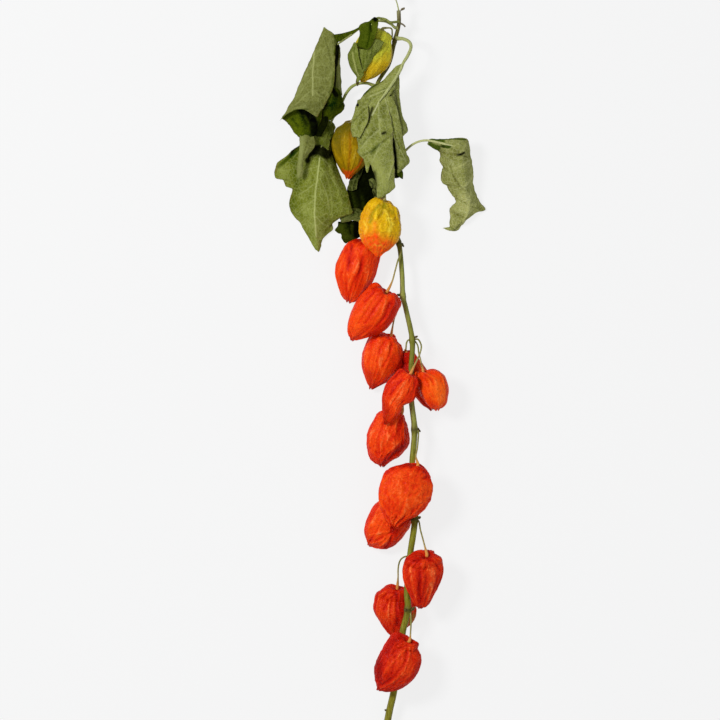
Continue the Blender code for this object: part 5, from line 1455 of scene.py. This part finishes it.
UNDER_LEAF = Leaf("leaf_under", "leaf_shade", triples(-26.7, 690.6, 15.9, -31, 688, 13, -36, 684, 9,
    -39, 679, 7), (
    # Near-black sheet under the lanterns and the centre leaf: painted shadow
    Sheet(grid(3, -50, 673, 3, -40, 674, 5, -29, 672, 4, -56, 650, 2.5, -42, 650, 6, -26, 648, 4,
        -64, 636, 2.5, -46, 634, 7, -25, 632, 5, -63, 622, 2.5, -48, 618, 7, -28, 615, 5, -60, 610, 2.5,
        -48, 607, 7, -36, 604, 6, -56, 598, 1.5, -46, 596, 3, -38, 594, 2.5), upper=1, dark=0.93, ragged=1,
        strokes=(
        dark(5, -0.75, -61, 630, -56, 618), dark(2, -0.5, -46, 628, -44, 614))),
    Sheet(grid(3, -58, 658, 4.5, -52, 661, 7.5, -44, 664, 7.5, -60, 650.5, 5, -54, 652, 8.5,
        -46.5, 654.5, 8.5, -63, 641, 5, -57, 642, 8.5, -50.8, 646, 9, -64, 636.4, 5, -58, 634.8, 8,
        -52, 637, 8.5), ragged=1.2, pucker=0.9, strokes=(
        shade(4, 1.3, -58, 656, -62, 640), crease(1.2, 1.2, -48, 660, -54, 646, -56, 637),
        dark(1.6, 0.8, -46, 662, -50, 648))),
    Sheet(grid(3, -38, 648.4, 7, -33.5, 650.4, 11, -29.2, 646.5, 9, -36.8, 643, 8, -33, 642.4, 12,
        -28.2, 641, 9, -35, 638.6, 7, -32, 637.2, 9.5, -28.6, 637, 8), ragged=0.8, strokes=(
        pale(3, 0.5, -34, 646, -32, 640), dark(0.9, 0.9, -36, 646, -33, 643, -33, 638))),
    Sheet(grid(3, -33.6, 637, 7, -31, 637.4, 10.5, -28.4, 636, 9, -32.8, 632, 7.5, -30.6, 631.4, 10,
        -28.4, 631, 8, -31.4, 627, 7, -30, 626.4, 8, -28.6, 627, 7.5), ragged=0.6, strokes=(
        pale(2, 0.4, -31, 634), dark(0.9, 1, -32, 634, -30.6, 629))),
    Sheet(grid(3, -74.4, 602.5, 3.5, -72.4, 601, 6, -70.5, 596.6, 5, -66, 608.4, 5, -65, 602.6, 8.5,
        -64, 597.4, 6.5, -58.8, 613.5, 6.5, -58, 605, 10.5, -57.4, 599, 8, -50, 613.4, 7.5, -49.5, 606, 11.5,
        -49, 597.6, 9, -45.5, 611, 7.5, -45.5, 604, 10.5, -45.5, 597.6, 9), ragged=0.9, pucker=0.8, strokes=(
        pale(2.5, 0.4, -70, 600, -58, 601, -50, 600), shade(3, 1.2, -58, 610, -50, 609),
        crease(1, 1, -58, 604, -54, 612))),
    Sheet(grid(3, -74.6, 598, 2, -64, 599, 4.5, -47, 599, 5, -75.6, 592.4, 1.4, -64, 592, 4.4, -45, 592, 5,
        -79, 588.4, 1.1, -64, 588, 3.9, -44, 587, 5, -76, 584.6, 0.9, -64, 584, 3, -46, 583, 4,
        -71.4, 583.4, 0.9, -63, 582, 2.4, -48, 580, 3, -70.8, 578.6, 0.8, -63, 577.6, 1.4, -54, 577, 1.4,
        -68, 573.4, 0.7, -65.2, 571.8, 0.8, -61, 574.5, 0.8), upper=1, ragged=1.2, pucker=0.9, strokes=(
        dark(4.4, 1.6, -52, 597, -52, 582), dark(2.4, 0.9, -74, 598, -60, 597),
        dark(1.4, 0.8, -62, 596, -60, 584), glow(4, 0.7, -72, 590, -66, 580)))),
    (), NIGHT)

ON_LANTERN_LEAF = Leaf("leaf_on_lantern", "leaf_shade", triples(-11.8, 836, 39.5, -17, 839, 42,
    -23, 840.4, 44, -28.5, 840, 49, -35, 832, 55), (
    Sheet(grid(5, -50, 807, 42, -42, 811, 54, -32, 815, 55.5, -25.5, 814.5, 52.5, -20, 811.6, 48,
        -51.4, 800, 42, -42, 802, 53, -34, 806, 54.5, -28.5, 806, 53, -23.4, 804.6, 49.6, -50.5, 792, 43,
        -43, 793, 51.5, -37, 796, 52.5, -33, 797, 51.4, -29, 797.4, 49, -48, 785, 43, -44.6, 786, 48.5,
        -41.6, 786.6, 49.4, -38.6, 787, 49, -35.5, 788, 47.6, -46, 777, 42, -45.4, 776, 43, -44.6, 776, 43.5,
        -43.8, 776.6, 43.5, -42, 777.4, 43), ragged=0.4, strokes=(
        crease(1, 1.2, -44, 806, -44, 792, -45, 780), crease(0.9, 0.9, -38, 806, -40, 792),
        dark(1.2, 0.8, -50, 806, -50, 798), crease(0.9, 0.8, -33, 805, -35, 793),
        glow(5, 0.9, -22, 811, -28, 806))),
    Sheet(grid(3, -37.6, 834, 52, -31.7, 841.4, 50, -26.4, 839, 50, -43, 835.6, 49, -35, 834.6, 53.5,
        -26.8, 832, 54, -49.2, 831, 42, -38, 830, 54, -27.4, 827, 55, -49, 822, 41, -40, 822, 55.5,
        -28.4, 821, 56, -51, 815, 40, -42, 814, 56, -31.4, 813, 56.8, -52.4, 809, 41, -44, 808, 56,
        -35, 806, 57.2, -49.5, 804, 44, -44, 803, 56, -39, 802.6, 57), upper=1, ragged=0.5, strokes=(
        dark(2.4, 1.6, -31.5, 841, -30, 838), dark(1.1, 0.8, -36, 834, -35, 824),
        crease(1.2, 1, -36, 834, -37, 818, -40, 806), glow(3, 0.8, -30, 832, -31, 820),
        dark(1.4, 0.7, -51, 806, -44, 803))),
    Sheet(grid(3, -56, 811.6, 37, -54.5, 812, 40, -53, 811, 42, -60, 803.5, 36, -55, 805, 44, -51, 803, 47,
        -63.6, 797, 35.5, -57, 797, 45, -50, 796, 49, -62, 788, 35.5, -56, 788, 44.5, -48, 786, 48.6,
        -57.5, 778.5, 35, -52, 779, 41.5, -45.5, 779, 45.4, -53, 771.6, 34, -49, 772, 38.5, -43.8, 773.4, 42,
        -52.4, 765, 33, -50.5, 764.4, 35, -48, 767.6, 37), ragged=0.3, strokes=(
        crease(0.9, 0.7, -56, 806, -55, 790, -50, 776),))),
    (pairs(-58, 800, -55, 786, -50, 772),), HOLLY)

TIP_LEAF = Leaf("leaf_tip", "leaf_green", triples(-2.2, 851.6, 29.2, -3.2, 856, 31, -4.4, 860.5, 32,
    -6, 864, 34), (
    Sheet(grid(3, -7, 863, 33.5, -6, 863.6, 34, -5, 863, 33.5, -13.5, 869, 32, -9.5, 870.5, 35, -5, 871, 33,
        -15, 875, 33, -12, 876, 34, -8.5, 876.5, 33, -13.6, 879, 33, -13.2, 879.4, 33, -12.8, 879, 33)),
    Sheet(grid(3, -0.4, 850.4, 29.5, 0.2, 851, 31, 0.6, 851.6, 30, 2, 851.2, 30, 2.6, 852.4, 31.5,
        2.8, 853.4, 30.5, 5, 852.6, 30, 5.2, 853.2, 30.6, 5.4, 853.6, 30), dry=1, ragged=0.4),
    Sheet(grid(3, -1, 834.6, 28, -0.4, 835.4, 29, 0, 836.2, 28, 2.6, 833, 28.5, 3.2, 833.8, 29.6,
        3.6, 834.6, 28.6, 5.6, 830.6, 28, 6, 831, 28.6, 6.2, 831.6, 28), dry=1, ragged=0.4)),
    (), FERN, (0.9, 0.6))

LEAVES = (UPPER_LEFT_LEAF, LOWER_LEFT_LEAF, CENTRE_LEAF, RIGHT_LEAF, UNDER_LEAF, ON_LANTERN_LEAF, TIP_LEAF)


@dataclass
class LeafMaker:
    """Builds a leaf: its stalk, its veins and the sheets of its blade."""

    plan: Leaf
    thickness: float = 0.45
    vein_height: float = 0.5
    midrib: tuple = (0.75, 1.0)         # width and strength
    side_vein: tuple = (0.5, 0.42)
    curl: float = 1.6                   # lift of the margins, millimetres
    wave: float = 1.5                   # height of the long waves
    most_columns: int = 90
    most_rows: int = 150
    petiole_sides: int = 14
    petiole_rings: int = 110

    def __post_init__(self) -> None:
        """Draw the noise of this leaf."""
        self.noise = Noise(sum(self.plan.name.encode()))

    def sheet(self, skin: Skin, plan: Sheet, index: int) -> None:
        """Add one sheet of the blade.

        Args:
            skin: Mesh that it is added to.
            plan: The sheet.
            index: Number of the sheet, which picks its own noise.
        """
        columns = max(max(np.linalg.norm(np.array(row[-1]) - row[0]) for row in plan.rows), 12)
        middle = [np.array(row[len(row) // 2], float) for row in plan.rows]
        rows = sum(np.linalg.norm(b - a) for a, b in zip(middle, middle[1:]))
        columns = int(min(columns * plan.fineness, self.most_columns)) + 8
        rows = int(min(rows * plan.fineness, self.most_rows)) + 8
        lines = [smooth(np.array(row, float), np.linspace(0, len(row) - 1, columns)) for row in plan.rows]
        points = smooth(np.array(lines), np.linspace(0, len(lines) - 1, rows))
        share = np.broadcast_to(np.linspace(-1, 1, columns)[None, :], (rows, columns))
        across = unit(np.gradient(points, axis=1))
        spot = points + 100 * index
        edge = share ** 8 * np.sign(share)
        points = points + across * (edge * plan.ragged * self.noise.layers(spot / 5))[..., None]
        normal = unit(np.cross(np.gradient(points, axis=1), np.gradient(points, axis=0)))
        normal = normal * np.sign(normal[..., 2:].mean() or 1.0)
        vein = np.zeros((rows, columns))
        for order, line in enumerate(self.plan.veins):
            width, strength = self.side_vein if order else self.midrib
            vein = np.maximum(vein, brush(points, line, width) * strength)
        bulge = self.noise.layers(spot / 5.5 + 4)
        curl = self.noise.layers(spot / 16 + 8, 2) * np.abs(share) ** 3
        wave = self.noise.layers(spot / 18 + 15, 2)
        fine = self.noise.layers(spot / 2.6 + 70, 2)
        height = (plan.pucker * (bulge + 0.4 * fine) + self.curl * curl + self.wave * wave
                  + self.vein_height * vein)
        # Tone: a little lighter on the bulges, painted light, with random patches
        tone = 0.5 + 0.1 * bulge + 0.3 * self.noise.layers(spot / 12 + 2)
        # Crease strokes paint shade along their dents and crest strokes highlights along their ridges; shade
        # and glow strokes paint shade and light alone
        for stroke in plan.strokes:
            press = brush(points, stroke.line, stroke.reach) * stroke.strength
            if stroke.mark in (Mark.CREASE, Mark.CREST):
                height = height + (press if stroke.mark is Mark.CREST else -press)
                tone = tone + (0.25 * press if stroke.mark is Mark.CREST else -0.5 * press)
            elif stroke.mark in (Mark.SHADE, Mark.GLOW):
                tone = tone + (0.4 * press if stroke.mark is Mark.GLOW else -0.4 * press)
        points = points + normal * height[..., None]
        points[..., 2] = np.maximum(points[..., 2], TABLE_GAP + self.thickness / 2)
        tone = np.clip(tone, 0, 1)
        # dark: near-black painted shadow of the sheet and its dark strokes, with a few dark spots
        values = {"olive": plan.upper, "dark": plan.dark, "pale": 0.0}
        rim = ramp_step(np.abs(share) + 0.12 * self.noise.at(spot / 4), 0.9, 1.05) * 0.5
        values["red"] = np.maximum(rim, plan.dry)
        for stroke in plan.strokes:
            press = brush(points, stroke.line, stroke.reach) * stroke.strength
            if stroke.mark.value in values:
                values[stroke.mark.value] = np.clip(values[stroke.mark.value] + press, 0, 1)
        skin.add_sheet(points, self.thickness, relief=tone, vein=vein, along=0.5, **values)

    def build(self, space: Space, stem: Stem) -> None:
        """Build the leaf.

        Args:
            space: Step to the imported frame.
            stem: The stem that its stalk grows from.
        """
        plan = self.plan
        skin = Skin(plan.name)
        for index, sheet in enumerate(plan.sheets):
            self.sheet(skin, sheet, index)
        route = np.array(plan.petiole, float)
        line = even_line(np.vstack([stem.nearest(route[0]), route]), self.petiole_rings)
        share = np.linspace(0, 1, self.petiole_rings)
        thick, thin = plan.petiole_radii
        radii = thick + (thin - thick) * share
        radii = radii * (1 + 0.35 * bell(share, 0.05)) * (1 - 0.55 * ramp_step(share, 0.85, 1.0))
        radii = radii * (1 + 0.08 * self.noise.at(line / 5))
        skin.add_round(tube_points(line, radii, self.petiole_sides), relief=0.7, vein=0.45, along=0.0)
        skin.finish(space, plan.finish.make(plan.name), plan.name, plan.slot)


@dataclass(frozen=True)
class Bud:
    """A small dried bud standing off a stem joint."""

    name: str
    foot: tuple
    head: tuple
    radius: float
    scale_depth: float = 0.22   # depth of its three scales, as a share of the radius
    wrinkle: float = 0.2
    sunk: float = 0.35          # share of its length that sits in the stem
    length: float = 1.3         # whole length, as a share of foot to head
    slimness: float = 0.96
    sides: int = 24
    rings: int = 28

    def build(self, space: Space, finish: bpy.types.Material) -> None:
        """Build the bud, with a few shrunken scales round it.

        Args:
            space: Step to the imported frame.
            finish: Material of the buds.
        """
        noise = Noise(int(self.name[-2:]) + 40)
        share, angle = np.meshgrid(np.linspace(0, 1, self.rings + 1),
                                   np.arange(self.sides) * 2 * np.pi / self.sides, indexing="ij")
        foot, head = np.array(self.foot, float), np.array(self.head, float)
        reach = head - foot
        across = unit(np.cross(reach, (0.2, 0.4, 1.0)))
        upward = np.cross(unit(reach), across)
        spot = np.stack([2 * np.cos(angle), 2 * np.sin(angle), 5 * share], axis=-1)
        scales = 1 + self.scale_depth * np.cos(3 * angle + 9 * share) + self.wrinkle * noise.at(spot)
        radius = self.radius * np.sin(np.pi * share ** 0.8) ** 0.8 * scales * self.slimness
        spoke = across * np.cos(angle)[..., None] + upward * np.sin(angle)[..., None]
        points = foot - reach * self.sunk + reach * self.length * share[..., None] + spoke * radius[..., None]
        skin = Skin(self.name)
        # Darker brown where the scales dip: painted shade in the grooves between them
        skin.add_round(points, relief=np.clip(scales - 0.5, 0, 1), olive=np.clip(1.4 - scales, 0, 1))
        skin.finish(space, finish, self.name if self.name.startswith("bud") else "", "bud_brown")


BUDS = (
    Bud("bud_01", (12.8, 131.8, 34.8), (18.2, 136.5, 39), 1.9),
    Bud("bud_02", (21.5, 242.3, 27.5), (25.2, 243.4, 26.4), 1.8),
    Bud("bud_03", (20.7, 348.8, 26.2), (24.6, 344.8, 24.6), 1.8),
    Bud("bud_04", (-0.6, 509.8, 28.6), (-5.2, 509.4, 31), 1.6),
    Bud("bud_05", (2.0, 570.8, 22.3), (4.6, 566.8, 21.6), 1.5),
    Bud("stub_01", (-51.5, 763.5, 22), (-51.8, 773, 27), 1.7),
    Bud("stub_02", (-17.4, 10.7, 15), (-19.2, 11.4, 15.6), 1.3),
    Bud("stub_03", (5.4, 131.5, 37.4), (7.4, 134.0, 38.6), 1.7),
    Bud("stub_04", (18.0, 459.0, 33.5), (21.5, 460.5, 34.5), 1.3),
)


@dataclass(frozen=True)
class Lamp:
    """One soft square light that points at the stem: metres and watts."""

    name: str
    place: tuple
    size: float
    power: float


@dataclass
class Studio:
    """Pale floor, soft light and the camera straight above the stem."""

    centre: tuple = (-0.0224, 0.052, 0.025)
    view_width: float = 0.864
    lens: float = 300.0
    sensor: float = 36.0
    floor_size: float = 12.0
    floor_grey: tuple = (92, 92, 92)
    floor_glow: float = 0.805
    lamps: tuple = (Lamp("key", (-1.5, 0.8, 2.4), 0.7, 62), Lamp("fill", (1.3, -1.0, 2.2), 2.0, 10))
    sky: tuple = (0.95, 0.97, 1.0, 1)
    sky_strength: float = 0.38

    def floor(self) -> None:
        """Lay the floor."""
        shell = bmesh.new()
        bmesh.ops.create_grid(shell, x_segments=1, y_segments=1, size=self.floor_size / 2)
        mesh = bpy.data.meshes.new("floor")
        shell.to_mesh(mesh)
        shell.free()
        graph = Graph("floor")
        graph.feed(graph.shader.inputs, {"Emission Color": (255, 255, 255),
                                         "Emission Strength": self.floor_glow})
        mesh.materials.append(graph.done(self.floor_grey, 0.9, 0.0))
        piece = add_object("floor", mesh)

    def hang(self, plan: Lamp) -> None:
        """Hang one light.

        Args:
            plan: The light.
        """
        light = bpy.data.lights.new(plan.name, "AREA")
        light.shape = "SQUARE"
        light.size = plan.size
        light.energy = plan.power
        holder = add_object(plan.name, light)
        holder.location = plan.place
        toward = Vector(self.centre) - Vector(plan.place)
        holder.rotation_euler = toward.to_track_quat("-Z", "Y").to_euler()
        holder.visible_camera = False

    def camera(self) -> None:
        """Place the camera."""
        lens = bpy.data.cameras.new("camera")
        lens.lens = self.lens
        lens.sensor_width = self.sensor
        lens.clip_end = 60
        holder = add_object("camera", lens)
        distance = self.view_width * self.lens / self.sensor
        holder.location = Vector(self.centre) + Vector((0, 0, distance))
        bpy.context.scene.camera = holder

    def build(self) -> None:
        """Build the floor, the lights, the sky and the camera."""
        self.floor()
        for lamp in self.lamps:
            self.hang(lamp)
        world = bpy.data.worlds.new("studio")
        world.use_nodes = True
        sky = world.node_tree.nodes["Background"]
        sky.inputs["Color"].default_value = self.sky
        sky.inputs["Strength"].default_value = self.sky_strength
        bpy.context.scene.world = world
        bpy.context.scene.view_settings.view_transform = "Standard"
        self.camera()


STALK_FINISH = StemFinish(stops=((0.0, (112, 114, 48)), (0.35, (132, 134, 70)), (0.7, (166, 146, 84)),
                                 (1.0, (204, 150, 84))), light=(190, 180, 116), brown=(104, 90, 42))
BUD_FINISH = StemFinish(stops=((0.0, (92, 84, 40)), (1.0, (92, 84, 40))), light=(130, 124, 66),
                        brown=(70, 54, 26))


def main() -> None:
    """Build every piece of the stem and the studio round it."""
    space = Space()
    stem = Stem()
    stem.build(space)
    stalk_finish = STALK_FINISH.make("stalk")
    for plan in LANTERNS:
        maker = LanternMaker(plan)
        maker.husk(space)
        maker.stalk(space, stem, stalk_finish)
    for plan in LEAVES:
        LeafMaker(plan).build(space, stem)
    bud_finish = BUD_FINISH.make("bud")
    for bud in BUDS:
        bud.build(space, bud_finish)
    Studio().build()


if __name__ == "__main__":
    main()
